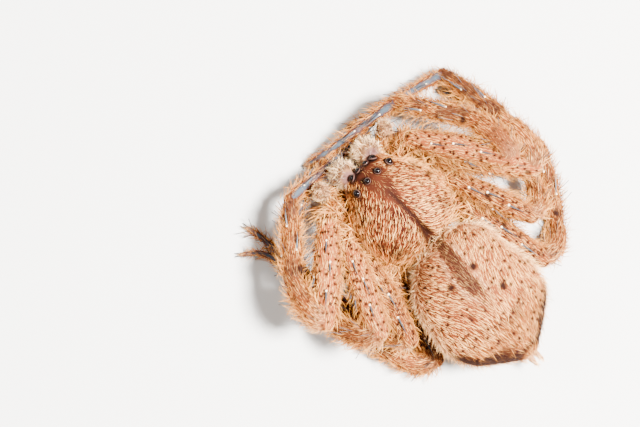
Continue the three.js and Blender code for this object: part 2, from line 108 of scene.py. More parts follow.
# Jaws and palps of the left side: start, end and bow of their curve, half widths, thickness and what is up.
FACE_LIMBS = {
    "jaw": dict(start=(1.38, -4.95, 4.45), end=(1.2, -5.7, 0.95), bow=(0.12, -0.85, 0.25),
                widths=(1.05, 1.2, 0.8), thickness=0.92, up=(0, -1, 0)),
    "palp_arm": dict(start=(2.1, -4.3, 1.9), end=(3.5, -5.45, 3.1), bow=(0, -0.4, -0.2),
                     widths=(0.6, 0.7, 0.65), thickness=0.9, up=(0, 0, 1)),
    "palp": dict(start=(3.5, -5.45, 3.1), end=(4.15, -6.1, 4.4), bow=(0, -0.2, 0.1),
                 widths=(0.7, 0.85, 0.65), thickness=0.95, up=(0, 0, 1)),
}
# The spinnerets: their middle, and for those of the left side place across and up, length and half width.
SPINNERETS_MIDDLE = (ABDOMEN["shift"], 16.2, 2.6)
SPINNERETS = [(0.3, 0.22, 1.4, 0.3), (0.28, -0.28, 1.2, 0.32)]

# Eyes: half spacing, place along the body, height, half size.
EYES = {
    "anterior_median": (0.45, -4.92, 4.75, 0.26),
    "anterior_lateral": (1.2, -4.78, 4.7, 0.33),
    "posterior_median": (0.61, -3.75, 5.66, 0.28),
    "posterior_lateral": (1.92, -3.62, 5.1, 0.34),
}

# How far the skin lies inside the solids, to leave room for the coat.
COAT_DEPTH = dict(body=0.16, leg=0.14, foot=0.1, face=0.14, tail=0.1)
FLOOR_GAP = 0.03  # hair and skin are pressed flat this far above the floor, in mm
SKIN_VOXEL = 0.15  # grain of the skin's surface, in mm


def eye_middle(name):
    low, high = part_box(name)
    return (Vector(low) + Vector(high)) / 2 / MM


# From the spider's millimetres to the model's, found where one eye lies in both.
SHIFT = eye_middle("eye_anterior_median_l") - Vector(EYES["anterior_median"][:3])


def mirrored(place, side):
    """A place or direction of the left side, on the left (1) or the right (-1)."""
    return np.array((side * place[0], place[1], place[2]))


def unit(vectors):
    vectors = np.asarray(vectors, float)
    return vectors / np.maximum(np.linalg.norm(vectors, axis=-1, keepdims=True), 1e-9)


def smoothstep(edge0, edge1, x):
    t = np.clip((np.asarray(x, float) - edge0) / (edge1 - edge0), 0, 1)
    return t * t * (3 - 2 * t)


def fall(edge0, edge1, x):
    """1 below the first edge, going softly to 0 at the second."""
    return 1 - smoothstep(edge0, edge1, x)


def bump(x, centre, width):
    """A soft hill, 1 at the centre."""
    return np.exp(-(((np.asarray(x, float) - centre) / width) ** 2))


NOISE_CELLS = 32
# The fixed seed of everything that is random.
SEEDS = dict(
    band=7, band_edge=8, rust=9, stripe_edge=12, abdomen_freckles=13, stripe=14, foot_strip=4, blotches=5,
    leg_freckles=6, face_freckles=15, spines=3, bristles=21, short_tuft=11, long_tuft=12, coat=40)


def soft_noise(points, size, seed_name):
    """Smooth random values from 0 to 1, in patches of a size in millimetres."""
    table = np.random.default_rng(SEEDS[seed_name]).random((NOISE_CELLS,) * 3)
    place = np.asarray(points, float) / size
    cell = np.floor(place).astype(int)
    share = place - cell
    share = share * share * (3 - 2 * share)
    total = np.zeros(len(place))
    for corner in np.ndindex(2, 2, 2):
        weight = np.prod(np.where(corner, share, 1 - share), axis=1)
        i, j, k = ((cell + np.array(corner)) % NOISE_CELLS).T
        total += weight * table[i, j, k]
    return total


def to_model(mesh):
    """From the spider's millimetres to the model's metres."""
    mesh.transform(Matrix.Scale(MM, 4) @ Matrix.Translation(SHIFT))
    mesh.update()


def linked(name, data):
    """A new object in the scene."""
    obj = bpy.data.objects.new(name, data)
    bpy.context.collection.objects.link(obj)
    return obj


def mesh_object(name, vertices, faces):
    mesh = bpy.data.meshes.new(name)
    mesh.from_pydata([tuple(v) for v in vertices], [], faces)
    mesh.update()
    return linked(name, mesh)


def join_shape(vertices, faces, more_vertices, more_faces):
    """Adds one shape to the lists of a larger one."""
    start = len(vertices)
    vertices.extend(more_vertices)
    faces.extend(tuple(start + k for k in face) for face in more_faces)


def belt(first, second, sides):
    """Four-sided faces between two rings of vertices that start at these numbers."""
    around = [(s, (s + 1) % sides) for s in range(sides)]
    return [(first + s, first + n, second + n, second + s) for s, n in around]


# Curves of the limbs

def bowed(start, end, bow, count=24):
    """Points and directions on a gently bowed curve."""
    t = np.linspace(0, 1, count)[:, None]
    start, end = np.asarray(start, float), np.asarray(end, float)
    middle = (start + end) / 2 + np.asarray(bow, float)
    points = (1 - t) ** 2 * start + 2 * t * (1 - t) * middle + t ** 2 * end
    return points, unit(np.gradient(points, axis=0))


def through(knots, count=30):
    """Points and directions on a smooth curve through the knots."""
    knots = [np.asarray(k, float) for k in knots]
    knots = [2 * knots[0] - knots[1]] + knots + [2 * knots[-1] - knots[-2]]
    points = []
    spans = len(knots) - 3
    for u in np.linspace(0, spans - 1e-6, count):
        i = int(u)
        t = u - i
        a, b, c, d = knots[i:i + 4]
        points.append(0.5 * (2 * b + (c - a) * t + (2 * a - 5 * b + 4 * c - d) * t ** 2
                             + (3 * b - a - 3 * c + d) * t ** 3))
    points = np.array(points)
    return points, unit(np.gradient(points, axis=0))


def heading(angles, side):
    h, e = math.radians(angles[0]), math.radians(angles[1])
    return np.array((side * math.sin(h) * math.cos(e), math.cos(h) * math.cos(e), math.sin(e)))


def leg_joints(pair, pose, side):
    joints = [mirrored(pair["hip"], side)]
    for segment, angles in zip(SEGMENTS, pose):
        joints.append(joints[-1] + heading(angles, side) * pair[segment])
    return joints


def leg_curves(pair, pose, side):
    hip, knee, shin, ankle, heel, claw = leg_joints(pair, pose, side)
    femur_way = unit(knee - hip)
    root = np.array((side * 2.3, hip[1] * 0.78 + 0.1, 1.9))
    return {
        "coxa": bowed(root, hip, (side * 0.2, 0, -0.25)),
        "femur": bowed(hip, knee, (0, 0, 0.35)),
        "patella": bowed(knee, shin, femur_way * 0.32 * pair["patella"]),
        "tibia": bowed(shin, ankle, femur_way * 0.04 * pair["tibia"]),
        "foot": through((ankle, (ankle + heel) / 2, heel, claw)),
    }


def curve_length(points):
    return float(np.linalg.norm(np.diff(points, axis=0), axis=1).sum())


ROUND_END = 0.7  # length of a segment's rounded end, of its half width there


def half_width_at(widths, t, length):
    """The half width at t, rounded off at both ends."""
    base, middle, tip = widths
    width = np.interp(t, (0, 0.45, 1), (base, middle, tip))
    in_base = max(0.0, 1 - t / (ROUND_END * base / length))
    in_tip = max(0.0, 1 - (1 - t) / (ROUND_END * tip / length))
    return width * math.sqrt(max(0, 1 - in_base ** 2)) * math.sqrt(max(0, 1 - in_tip ** 2))


def across(tangent, up):
    side = unit(np.cross(tangent, up))
    return side, np.cross(side, tangent)


THINNEST = 0.02  # least half width of a limb's skin, in mm


class Limb:
    """One segment: its curve and widths, where it belongs, and how deep its skin lies under the coat."""

    def __init__(self, region, kind, curve, widths, thickness=LEG_THICKNESS, up=(0, 0, 1), depth=0.0):
        self.region, self.kind, self.thickness, self.up = region, kind, thickness, np.array(up, float)
        self.points, self.ways = curve
        self.widths = widths
        self.depth = depth
        self.length = curve_length(self.points)

    def at(self, t):
        """Point, direction, sideways and top vectors and half width at t."""
        place = np.clip(t, 0, 1) * (len(self.points) - 1)
        i = min(int(place), len(self.points) - 2)
        point = self.points[i] + (self.points[i + 1] - self.points[i]) * (place - i)
        way = unit(self.ways[i] + (self.ways[i + 1] - self.ways[i]) * (place - i))
        side, top = across(way, self.up)
        return point, way, side, top, half_width_at(self.widths, t, self.length)

    def surface(self, t, angle):
        """A place on the skin, the direction out of it and the direction to the limb's tip."""
        point, way, side, top, width = self.at(t)
        a = math.radians(angle)
        width = max(width - self.depth, THINNEST)
        place = point + side * math.cos(a) * width + top * math.sin(a) * width * self.thickness
        normal = unit(side * math.cos(a) * self.thickness + top * math.sin(a))
        return place, normal, way

    def tube(self, rings=22, sides=18):
        """Closed rings of vertices and faces, and each vertex's t, angle and direction."""
        vertices, faces, ts, angles, ways = [], [], [], [], []
        steps = 0.5 - 0.5 * np.cos(np.pi * np.arange(rings + 1) / rings)
        for r, t in enumerate(np.clip(steps, 0.004, 0.996)):
            point, way, side, top, width = self.at(t)
            width = max(width - self.depth, 1.5 * THINNEST)
            for s in range(sides):
                a = 2 * math.pi * s / sides
                height = width * self.thickness
                vertices.append(point + side * math.cos(a) * width + top * math.sin(a) * height)
                ts.append(t)
                angles.append(math.degrees(a))
                ways.append(way)
        for r in range(rings):
            faces += belt(r * sides, (r + 1) * sides, sides)
        faces.append(tuple(reversed(range(sides))))
        faces.append(tuple(range(rings * sides, (rings + 1) * sides)))
        return vertices, faces, ts, angles, ways


# Body shells

END_POINT = 0.2  # how far a shell's closing point stands out, in mm


def station(table, key, y):
    """A value of a shell at y, smooth between its stations."""
    ys, values = table["y"], table[key]
    last = len(ys) - 1
    i = 0
    while i < last - 1 and y > ys[i + 1]:
        i += 1
    t = min(max((y - ys[i]) / (ys[i + 1] - ys[i]), 0), 1)

    def v(k):
        return values[min(max(k, 0), last)]

    slope0, slope1 = (v(i + 1) - v(i - 1)) / 2, (v(i + 2) - v(i)) / 2
    return (v(i) * (2 * t ** 3 - 3 * t ** 2 + 1) + slope0 * (t ** 3 - 2 * t ** 2 + t)
            + v(i + 1) * (3 * t ** 2 - 2 * t ** 3) + slope1 * (t ** 3 - t ** 2))


def swing(table, y):
    """How far a shell's middle lies to the left at y."""
    return table["shift"] * smoothstep(0, table["shift_over"], y - table["y"][0])


def shell_point(table, y, angle, depth):
    """A point on a shell: angle 0 at the spider's left side, 90 on top."""
    a = math.radians(angle)
    edge = station(table, "edge", y)
    width = station(table, "half_width", y) - depth
    flat, high = math.cos(a), math.sin(a)
    rise = station(table, "top", y) - edge if high > 0 else edge - station(table, "bottom", y)
    rise -= depth
    if high < 0:
        flat = math.copysign(abs(flat) ** UNDERSIDE, flat)
    return np.array((flat * width + swing(table, y), y, edge + high * rise))


def shell_mesh(table, depth, rings=40, sides=48):
    """Closed rings of vertices and faces, with a low point at the front and the rear."""
    vertices, faces = [], []
    front, rear = table["y"][0] + depth * 0.5, table["y"][-1] - depth * 0.5
    for r in range(rings + 1):
        y = front + (rear - front) * (0.5 - 0.5 * math.cos(math.pi * (0.02 + 0.96 * r / rings)))
        for s in range(sides):
            vertices.append(shell_point(table, y, 360 * s / sides, depth))
    for r in range(rings):
        faces += belt(r * sides, (r + 1) * sides, sides)
    for r, push in ((0, -END_POINT), (rings, END_POINT)):
        ring = [r * sides + s for s in range(sides)]
        middle = np.mean([vertices[k] for k in ring], axis=0) + np.array((0, push, 0))
        vertices.append(middle)
        tip = len(vertices) - 1
        for s in range(sides):
            a, b = ring[s], ring[(s + 1) % sides]
            faces.append((b, a, tip) if r == 0 else (a, b, tip))
    return vertices, faces


# Regions of the skin that carry their own pieces of coat
REGIONS = ["abdomen_top", "abdomen_under", "chest", "face", "tail"]
REGIONS += [f"leg_{s}{i}" for s in "rl" for i in (1, 2, 3, 4)]


def all_limbs():
    """Every segment of the legs, jaws, palps and spinnerets."""
    limbs = []
    for letter, side in (("r", -1), ("l", 1)):
        for i, pair in enumerate(LEG_PAIRS):
            curves = leg_curves(pair, POSE[letter][i], side)
            for kind, curve in curves.items():
                widths = tuple(w * pair["size"] for w in SEGMENT_WIDTHS[kind])
                depth = COAT_DEPTH["foot"] if kind == "foot" else COAT_DEPTH["leg"]
                limbs.append(Limb(f"leg_{letter}{i + 1}", kind, curve, widths, depth=depth))
        for kind, part in FACE_LIMBS.items():
            curve = bowed(*(mirrored(part[key], side) for key in ("start", "end", "bow")))
            limbs.append(Limb("face", kind, curve, part["widths"], part["thickness"], part["up"],
                              COAT_DEPTH["face"]))
        for aside, above, length, width in SPINNERETS:
            start = SPINNERETS_MIDDLE + mirrored((aside, 0, above), side)
            end = start + mirrored((0.06, length, above * 0.3), side)
            limbs.append(Limb("tail", "spinneret", bowed(start, end, (0, 0, 0)),
                              (width, width, width * 0.6), 1.0, depth=COAT_DEPTH["tail"]))
    return limbs


# The skin: one closed surface over all of these, with a mark on every vertex for its coat

LEG_KINDS = ["coxa", "femur", "patella", "tibia", "foot"]
KINDS = ["chest", "abdomen"] + LEG_KINDS + ["jaw", "palp_arm", "palp", "spinneret"]
JOINTED = ("coxa", "femur", "patella", "tibia", "palp_arm")  # segments with another one after them
LIMBS = all_limbs()


def joint_ball(limb):
    """Middle and radius of a ball that closes the joint at the far end of a segment."""
    return limb.at(1.0)[0], min(limb.widths[2], 1.0) * 0.92 - limb.depth


def skin_sources():
    """The shapes under the skin, and for each of their vertices what it belongs to.

    The marks are the kind, the limb's number, the place along and round the limb, and the way to its tip.
    """
    vertices, faces, marks = [], [], []

    for table, kind in ((CHEST, "chest"), (ABDOMEN, "abdomen")):
        points, shell_faces = shell_mesh(table, COAT_DEPTH["body"])
        join_shape(vertices, faces, points, shell_faces)
        marks.extend([(KINDS.index(kind), -1, 0, 0, 0, 1, 0)] * len(points))
    for number, limb in enumerate(LIMBS):
        points, tube_faces, ts, angles, ways = limb.tube()
        kind = KINDS.index(limb.kind)
        join_shape(vertices, faces, points, tube_faces)
        marks.extend((kind, number, t, a, *way) for t, a, way in zip(ts, angles, ways))
        if limb.kind in JOINTED:
            centre, radius = joint_ball(limb)
            ball = bmesh.new()
            bmesh.ops.create_icosphere(ball, subdivisions=2, radius=radius)
            ball_points = [np.array(v.co) * (1, 1, limb.thickness) + centre for v in ball.verts]
            ball_faces = [tuple(v.index for v in f.verts) for f in ball.faces]
            ball.free()
            join_shape(vertices, faces, ball_points, ball_faces)
            marks.extend([(kind, number, 1.0, 90, *limb.ways[-1])] * len(ball_points))
    return vertices, faces, np.array(marks, float)


def evaluated_mesh(obj, name):
    """The object's mesh with its modifiers done, as a plain mesh."""
    depsgraph = bpy.context.evaluated_depsgraph_get()
    mesh = bpy.data.meshes.new_from_object(obj.evaluated_get(depsgraph), depsgraph=depsgraph)
    mesh.name = name
    return mesh


def grown_together(vertices, faces):
    """One surface over overlapping closed shapes, smoothed where they meet."""
    obj = mesh_object("skin_shapes", vertices, faces)
    remesh = obj.modifiers.new("join", "REMESH")
    remesh.mode = "VOXEL"
    remesh.voxel_size = SKIN_VOXEL
    smooth = obj.modifiers.new("soften", "SMOOTH")
    smooth.factor = 0.5
    smooth.iterations = 4
    mesh = evaluated_mesh(obj, "skin")
    bpy.data.objects.remove(obj)
    return mesh


def as_array(items, key):
    """One vector of each vertex, as rows."""
    flat = np.empty(len(items) * 3)
    items.foreach_get(key, flat)
    return flat.reshape(-1, 3)


def nearest_marks(points, source_points, marks):
    """For each point, the marks of the source point that is nearest to it."""
    tree = kdtree.KDTree(len(source_points))
    for i, p in enumerate(source_points):
        tree.insert(p, i)
    tree.balance()
    return marks[np.array([tree.find(p)[1] for p in points])]


# Places of the folds and markings, in the spider's millimetres

# Depths of the folds, in mm: the chest's long groove, the dimple behind it and its slanting ribs, and the
# abdomen's pits.
GROOVE_DEPTH, DIMPLE_DEPTH, RIB_DEPTH, PIT_DEPTH = 0.17, 0.3, 0.05, 0.1
RIB_SLANTS = (-1.6, -0.5, 0.6)
# The small pits on the abdomen: place, size and depth of colour.
SIGILLA = [(-0.5, 7.5, 0.5, 1.0), (2.1, 7.45, 0.48, 1.0), (-1.1, 10.4, 0.5, 1.0), (2.7, 10.3, 0.36, 0.8),
           (1.6, 6.1, 0.2, 0.9), (-0.2, 12.4, 0.2, 0.8), (1.8, 12.4, 0.2, 0.8)]
# Rust-coloured patches near the edge of the chest: place and size.
RUST_PATCHES = [(-3.2, -1.9, 0.45), (-3.6, -0.5, 0.4), (3.3, -1.6, 0.4), (3.5, 0.9, 0.35), (-2.9, 1.6, 0.35)]
# Round dark spots on the tops of the legs: place and radius.
LEG_SPOTS = [(-8.55, -1.7, 7.0, 0.42), (-5.9, 4.35, 4.3, 0.36), (-5.3, 7.1, 3.05, 0.38),
             (-9.45, 9.6, 1.4, 0.34), (9.75, -2.45, 5.3, 0.55), (-5.4, 10.15, 3.0, 0.24),
             (-7.4, 1.55, 7.25, 0.22), (-9.55, 5.2, 5.3, 0.26)]
# Half widths of the dark band of the chest and of the stripe on the abdomen, at places along the body.
BAND_HALF_WIDTH = ((-4.7, -3.4, -2.2, -1.2, 0.4, 2.0, 2.8, 3.8), (1.35, 1.15, 0.75, 0.42, 0.2, 0.3, 0.5, 0.6))
STRIPE_HALF_WIDTH = ((4.0, 6.5, 9.0, 10.5), (0.45, 0.72, 0.66, 0.25))
LINE_HALF_WIDTH = 0.17  # of the thin dark line down the middle of the chest
SOFT_EDGE = (0.7, 1.15)  # where the edge of a band or stripe starts and ends, of its half width


def carve(points, normals, kind):
    """Folds of the skin: groove, dimple and ribs on the chest, and the small pits on the abdomen."""
    x, y, facing_up = points[:, 0], points[:, 1], normals[:, 2] > 0.2
    aside = np.abs(x)
    groove = bump(x, 0, 0.22) * smoothstep(-2.4, -0.6, y) * fall(3.0, 3.9, y)
    dimple = bump(x, 0, 0.38) * bump(y, 2.6, 0.9)
    ribs = sum(bump(y - 1.4 * s - 0.42 * aside * s, 0.6, 0.35) for s in RIB_SLANTS)
    ribs = ribs * smoothstep(0.5, 1.2, aside)
    on_chest = (kind == KINDS.index("chest")) & facing_up
    down = np.where(on_chest, GROOVE_DEPTH * groove + DIMPLE_DEPTH * dimple + RIB_DEPTH * ribs, 0)
    on_abdomen = (kind == KINDS.index("abdomen")) & facing_up
    for px, py, radius, _ in SIGILLA:
        down = down + np.where(on_abdomen, PIT_DEPTH * bump(np.hypot(x - px, y - py), 0, radius), 0)
    return points - normals * down[:, None]


def chest_marks(p, n):
    """The chest: dark band behind the eyes, thin line down the middle, rust patches and a furry pale rim."""
    x, y, z = p.T
    aside = np.abs(x)
    top = smoothstep(-0.1, 0.4, n[:, 2])
    width = np.interp(y, *BAND_HALF_WIDTH) * (0.8 + 0.4 * soft_noise(p, 0.5, "band_edge"))
    band = fall(width * SOFT_EDGE[0], width * SOFT_EDGE[1], aside)
    line = bump(x, 0, LINE_HALF_WIDTH) * smoothstep(-2.6, -1.4, y) * fall(2.4, 3.2, y)
    rear = bump(y, 2.9, 0.6) * fall(0.3, 0.75, aside)
    rust = bump(np.hypot(aside - 3.0, y - 2.3), 0, 0.75)
    for px, py, radius in RUST_PATCHES:
        rust = rust + bump(np.hypot(x - px, y - py), 0, radius)
    rust = np.clip(rust * smoothstep(0.2, 0.5, soft_noise(p, 0.4, "rust")), 0, 1) * top
    round_eyes = np.zeros_like(x)
    for ex, ey, ez, radius in EYES.values():
        away = np.sqrt((aside - ex) ** 2 + (y - ey) ** 2 + (z - ez) ** 2)
        round_eyes = np.maximum(round_eyes, fall(radius * 1.1, radius * 1.75, away))
    rim = bump(n[:, 2], 0.15, 0.3) * (y > -4.2)
    comb = [np.sign(x) * np.clip(aside, 0.2, 1.2), np.full_like(x, 0.85), -0.3 * (1 - top)]
    hair = np.interp(y, (-4.9, -3.2, -1.5, 3.7), (0.6, 0.75, 0.9, 1.0))
    hair = hair * (1 - 0.2 * band) * (1 - 0.6 * round_eyes) * (1 - 0.5 * line)
    return dict(
        flat=1 - 0.4 * rim,
        dark=top * np.clip((0.54 + 0.4 * soft_noise(p, 0.3, "band")) * band + 0.8 * rust, 0, 1),
        spot=np.clip(line + 0.8 * rear * top + 0.8 * round_eyes + 0.35 * rust, 0, 1),
        cream=0.8 * smoothstep(0.45, 0.0, n[:, 2]) * (y < -4.0),
        ochre=np.clip(0.7 * rim + 0.5 * bump(np.hypot(aside - 2.3, y + 4.2), 0, 0.7), 0, 1),
        grey=0.4 * band,
        lavender=smoothstep(-4.75, -5.0, y) * bump(z, 4.3, 0.8),
        # Painted light: the lit right side is made rosier and the shaded left side warmer.
        rose=0.3 * smoothstep(0.5, -1.0, x) * (1 - band) * top,
        warm=0.3 * smoothstep(-0.5, 1.5, x),
        freckled=0.8 * (1 - band) * top,
        comb=np.stack(comb, axis=1),
        hair=hair * (1 + rim * np.interp(y, (-3.9, -2.6, 1.0, 2.5), (0, 0.7, 0.7, 1.2))),
        density=1 - 0.2 * band,
        fringe=np.clip(0.9 * rim + 0.15, 0, 1) * (1 - 0.4 * band) * (1 - line),
    )


def abdomen_marks(p, n):
    """The abdomen: grey-brown stripe in pale edges, dark pits, dotted top, and the flanks by the spinnerets
    darkened with painted shade.
    """
    x, y, _ = p.T
    x = x - swing(ABDOMEN, y)
    aside = np.abs(x)
    top = smoothstep(0.2, 0.6, n[:, 2])
    width = np.interp(y, *STRIPE_HALF_WIDTH) * (0.85 + 0.3 * soft_noise(p, 0.5, "stripe_edge"))
    stripe = top * fall(width * SOFT_EDGE[0], width * SOFT_EDGE[1], aside) * fall(8.6, 10.8, y)
    outline = top * bump(aside, width * 1.4, 0.16) * smoothstep(4.2, 5.2, y) * fall(9, 11, y)
    # Painted shade: the rear flanks by the spinnerets, where the body turns down, are painted dark brown,
    # more on the left.
    flank_shade_top = np.interp(x, (-1.8, 0.8), (0.5, 0.58))
    flank_shade_front = np.interp(x, (-1, 1), (12.4, 11.2))
    flank_shade = smoothstep(0.05, 0.25, n[:, 2]) * fall(flank_shade_top, flank_shade_top + 0.14, n[:, 2])
    flank_shade = flank_shade * smoothstep(0, 1.4, y - flank_shade_front) * fall(15.9, 16.3, y)
    rear = smoothstep(11.0, 14.5, y) * top
    spots = np.zeros_like(x)
    for px, py, radius, strength in SIGILLA:
        near = fall(radius * 0.35, radius, np.hypot(p[:, 0] - px, y - py))
        spots = np.maximum(spots, strength * top * near)
    chevrons = bump(np.sin((y - 10.0 + 0.5 * aside) * 2.4), 1.0, 0.5) * smoothstep(9.5, 11.0, y)
    chevrons = top * chevrons * (aside < 3.2)
    freckles = smoothstep(0.58, 0.75, soft_noise(p, 0.55, "abdomen_freckles"))
    dark = (0.55 + 0.35 * soft_noise(p, 0.3, "stripe")) * stripe + flank_shade + 0.28 * chevrons
    dark = dark + 0.4 * rear * freckles + 0.3 * rear + 0.18 * top * freckles
    along_sides = 0.15 + 0.4 * fall(8.5, 12, y) * smoothstep(-0.1, 0.3, n[:, 2])
    comb = [-np.clip(x / 1.6, -1, 1) * along_sides, np.ones_like(x), -0.35 * (n[:, 2] < 0.3)]
    rim = bump(n[:, 2], 0.1, 0.45)
    beside_stripe = bump(aside, 0.9, 0.7) * (y < 10)
    return dict(
        flat=1 - 0.7 * rim * (1 - flank_shade),
        dark=np.clip(dark, 0, 1),
        spot=np.maximum(spots, 0.95 * flank_shade + 0.1 * stripe),
        cream=np.clip(0.5 * outline + 0.6 * rim * (1 - flank_shade), 0, 1),
        ochre=np.clip(0.3 * rim + 0.95 * rear + 0.3 * flank_shade, 0, 1),
        # Painted light: the lit right side is paler and rosier, the shaded left side warmer; the warmer rear
        # and the rose ground elsewhere are the abdomen's own colour.
        warm=0.12 * smoothstep(-1, 3, x) + 0.4 * rear - 0.25 * smoothstep(1, -2, x) * (1 - rear),
        rose=top * (1 - rear) * (1 - stripe) * (0.35 + 0.35 * smoothstep(1.5, -1.0, x)),
        grey=0.7 * stripe,
        dotted=(1 - stripe) * top,
        comb=np.stack(comb, axis=1),
        hair=(1 - 0.2 * flank_shade) * (1 - 0.6 * spots) * (1 - 0.25 * top * beside_stripe),
        density=1 - 0.5 * spots,
        fringe=np.clip(rim * (1 - 0.95 * flank_shade) + 0.15 * top * (1 - stripe) - spots, 0, 1),
    )


def leg_marks(p, n, marks):
    """The legs: rose dotted femora, grey blotches on the shins, slate strip along the feet, ochre fringes,
    and painted shade on the undersides and sides.
    """
    kind, number, t = marks[:, 0].astype(int), marks[:, 1].astype(int), marks[:, 2]
    angle, way = np.radians(marks[:, 3]), marks[:, 4:7]
    coxa, femur, patella, tibia, foot = (kind == KINDS.index(k) for k in LEG_KINDS)
    shin = patella | tibia
    first, second = (np.array([limb.region.endswith(pair) for limb in LIMBS])[number] for pair in "12")
    front = first | second
    left = np.array([limb.region.startswith("leg_l") for limb in LIMBS])[number]
    edge = np.abs(np.cos(angle))
    side = smoothstep(0.55, 0.95, edge)
    up = smoothstep(0.0, 0.5, n[:, 2])
    under = smoothstep(0.0, -0.7, n[:, 2])
    strip = foot * fall(0.3, 0.7, edge) * up * fall(0.88, 0.95, t)
    strip = strip * (0.4 + 0.6 * smoothstep(0.35, 0.6, soft_noise(p, 0.5, "foot_strip")))
    tip = foot * smoothstep(0.9, 0.96, t)
    base = femur * fall(0.0, 0.1, t) + coxa
    grey = smoothstep(0.32, 0.55, soft_noise(p, 1.1, "blotches")) * (1 - side)
    grey = grey * np.select([tibia & front, tibia, patella], [1.0, 0.65, 0.45], 0.15) * (1 - base)
    freckles = smoothstep(0.6, 0.75, soft_noise(p, 0.35, "leg_freckles"))
    knee = tibia * bump(t, 0.1, 0.05) * bump(np.cos(angle), 0.25, 0.3)
    joint = 0.3 * bump(t, 0.03, 0.05) * ~coxa + 0.25 * bump(t, 0.97, 0.04) * ~foot
    # Painted shade: the undersides and, less, the sides of the legs are darkened; the left feet, which lie in
    # shade already, take less of it.
    shaded = (0.4 * under + 0.15 * side) * (1 - tip) * np.where(foot & left, 0.3, 1.0)
    spots = np.zeros(len(p))
    for *place, radius in LEG_SPOTS:
        away = np.sqrt(((p - place) ** 2).sum(axis=1))
        spots = np.maximum(spots, fall(0.5 * radius, radius, away))
    foot_hair = 1.1 - 0.6 * strip - 0.5 * tip
    hair = np.select([coxa, femur, foot], [1.8, 0.85 + 0.8 * base + 0.2 * side, foot_hair], 0.95 + 0.2 * side)
    crest = smoothstep(7.2, 8.0, p[:, 2])  # the highest knee, where the hair is shorter
    fringe = side * np.select([femur & first, foot], [0.5, 1.0], 0.8) + 0.4 * under + base + 0.04
    return dict(
        flat=1 - np.where(femur, 0.4, 0.75) * side,
        # Partly painted shade: the slate strips of the right legs, which catch the light, are darkened while
        # those of the shaded left feet are not; partly their own dark streaks.
        dark=np.clip(
            up * (joint + 0.4 * freckles * (1 - side)) + 0.5 * base + 0.5 * strip * ~left + shaded, 0, 1),
        spot=np.clip(0.85 * knee * up + 0.95 * spots, 0, 1),
        cream=np.clip(0.9 * tip + 0.3 * patella * bump(t, 0.1, 0.2), 0, 1),
        rose=np.where(front, 1.3, 0.35) * femur * up * (1 - 0.5 * side),
        ochre=np.clip(
            0.9 * side * (1 - tip) + 0.4 * under + 0.4 * base + 0.5 * shin + 0.3 * femur * ~front, 0, 1),
        grey=grey * up,
        slate=strip,
        # Painted shade: the undersides and sides are also made warmer and browner.
        warm=0.3 * under + 0.2 * side - 0.7 * femur * up * front - 0.1 * shin * up,
        freckled=np.select([femur, foot], [1.0, 0.0], 0.7) * smoothstep(0.3, 0.7, n[:, 2]),
        comb=way + 0.12 * n,
        hair=hair * (1 - 0.45 * crest),
        density=1 - 0.5 * strip,
        fringe=np.clip(fringe, 0, 1) * (1 - 0.9 * strip) * (1 - 0.8 * tip),
        unruly=1 + 1.4 * base,
    )


TAIL_POINT = (ABDOMEN["shift"], 17.9, 2.6)  # where the hairs of the spinnerets meet


def face_marks(p, n, marks):
    """Woolly cream jaws and palps, bare and lavender at the root, and a combed pale tail of spinnerets."""
    kind, t = marks[:, 0].astype(int), marks[:, 2]
    jaw, arm, palp, tail = (kind == KINDS.index(k) for k in ("jaw", "palp_arm", "palp", "spinneret"))
    freckles = smoothstep(0.5, 0.68, soft_noise(p, 0.4, "face_freckles"))
    # Painted shade: a dark band in the fold where the jaw leaves the head.
    crease_shade = jaw * bump(t, 0.13, 0.05)
    to_point = unit(TAIL_POINT - p) * tail[:, None]
    return dict(
        flat=1 - 0.7 * jaw - 0.5 * palp,
        dark=np.clip((0.9 * palp + 0.35 * jaw) * freckles + 0.3 * arm + crease_shade, 0, 1),
        cream=np.clip(jaw + 0.7 * palp + 0.95 * tail, 0, 1),
        ochre=0.6 * arm + 0.2 * palp * smoothstep(0.5, 0.9, t),
        lavender=0.8 * jaw * fall(0.03, 0.1, t),
        freckled=(0.8 * palp + 0.45 * jaw) * smoothstep(0.3, 0.7, n[:, 2]),
        warm=0.2 * palp,
        comb=marks[:, 4:7] * (1 - tail[:, None]) + to_point,
        hair=np.select([jaw, palp, tail], [0.8, 0.65, 0.75], 0.9),
        density=np.where(jaw, np.clip(t * 9, 0.15, 0.85), 1.0),
        fringe=np.select([jaw, palp, tail], [0.7 * smoothstep(0.05, 0.15, t), 0.35, 0.5], 0.7),
        unruly=np.select([tail, jaw], [0.6, 1.7], 1.3),
    )


# What each vertex of the skin carries, where nothing else is said: the colours, and how its hair grows.
MARKS = dict(
    warm=0, dark=0, spot=0, cream=0, ochre=0, rose=0, grey=0, slate=0, lavender=0, dotted=0, freckled=0,
    flat=1, hair=1, density=1, fringe=0, unruly=1)


def skin_marks(points, normals, marks):
    """Every mark of every vertex, from what it belongs to."""
    kind = marks[:, 0].astype(int)
    result = {name: np.full(len(points), float(usual)) for name, usual in MARKS.items()}
    result["comb"] = np.zeros((len(points), 3))
    groups = (
        (kind == KINDS.index("chest"), chest_marks, False),
        (kind == KINDS.index("abdomen"), abdomen_marks, False),
        (np.isin(kind, [KINDS.index(k) for k in LEG_KINDS]), leg_marks, True),
        (kind > KINDS.index("foot"), face_marks, True),
    )
    for chosen, rule, with_marks in groups:
        args = (points[chosen], normals[chosen]) + ((marks[chosen],) if with_marks else ())
        for name, value in rule(*args).items():
            result[name][chosen] = value
    along = (result["comb"] * normals).sum(1, keepdims=True)
    result["comb"] = unit(result["comb"] - along * normals) * result["flat"][:, None]
    return result


ABDOMEN_PARTING = 3.6  # height in mm where the abdomen's upper and lower piece of coat meet


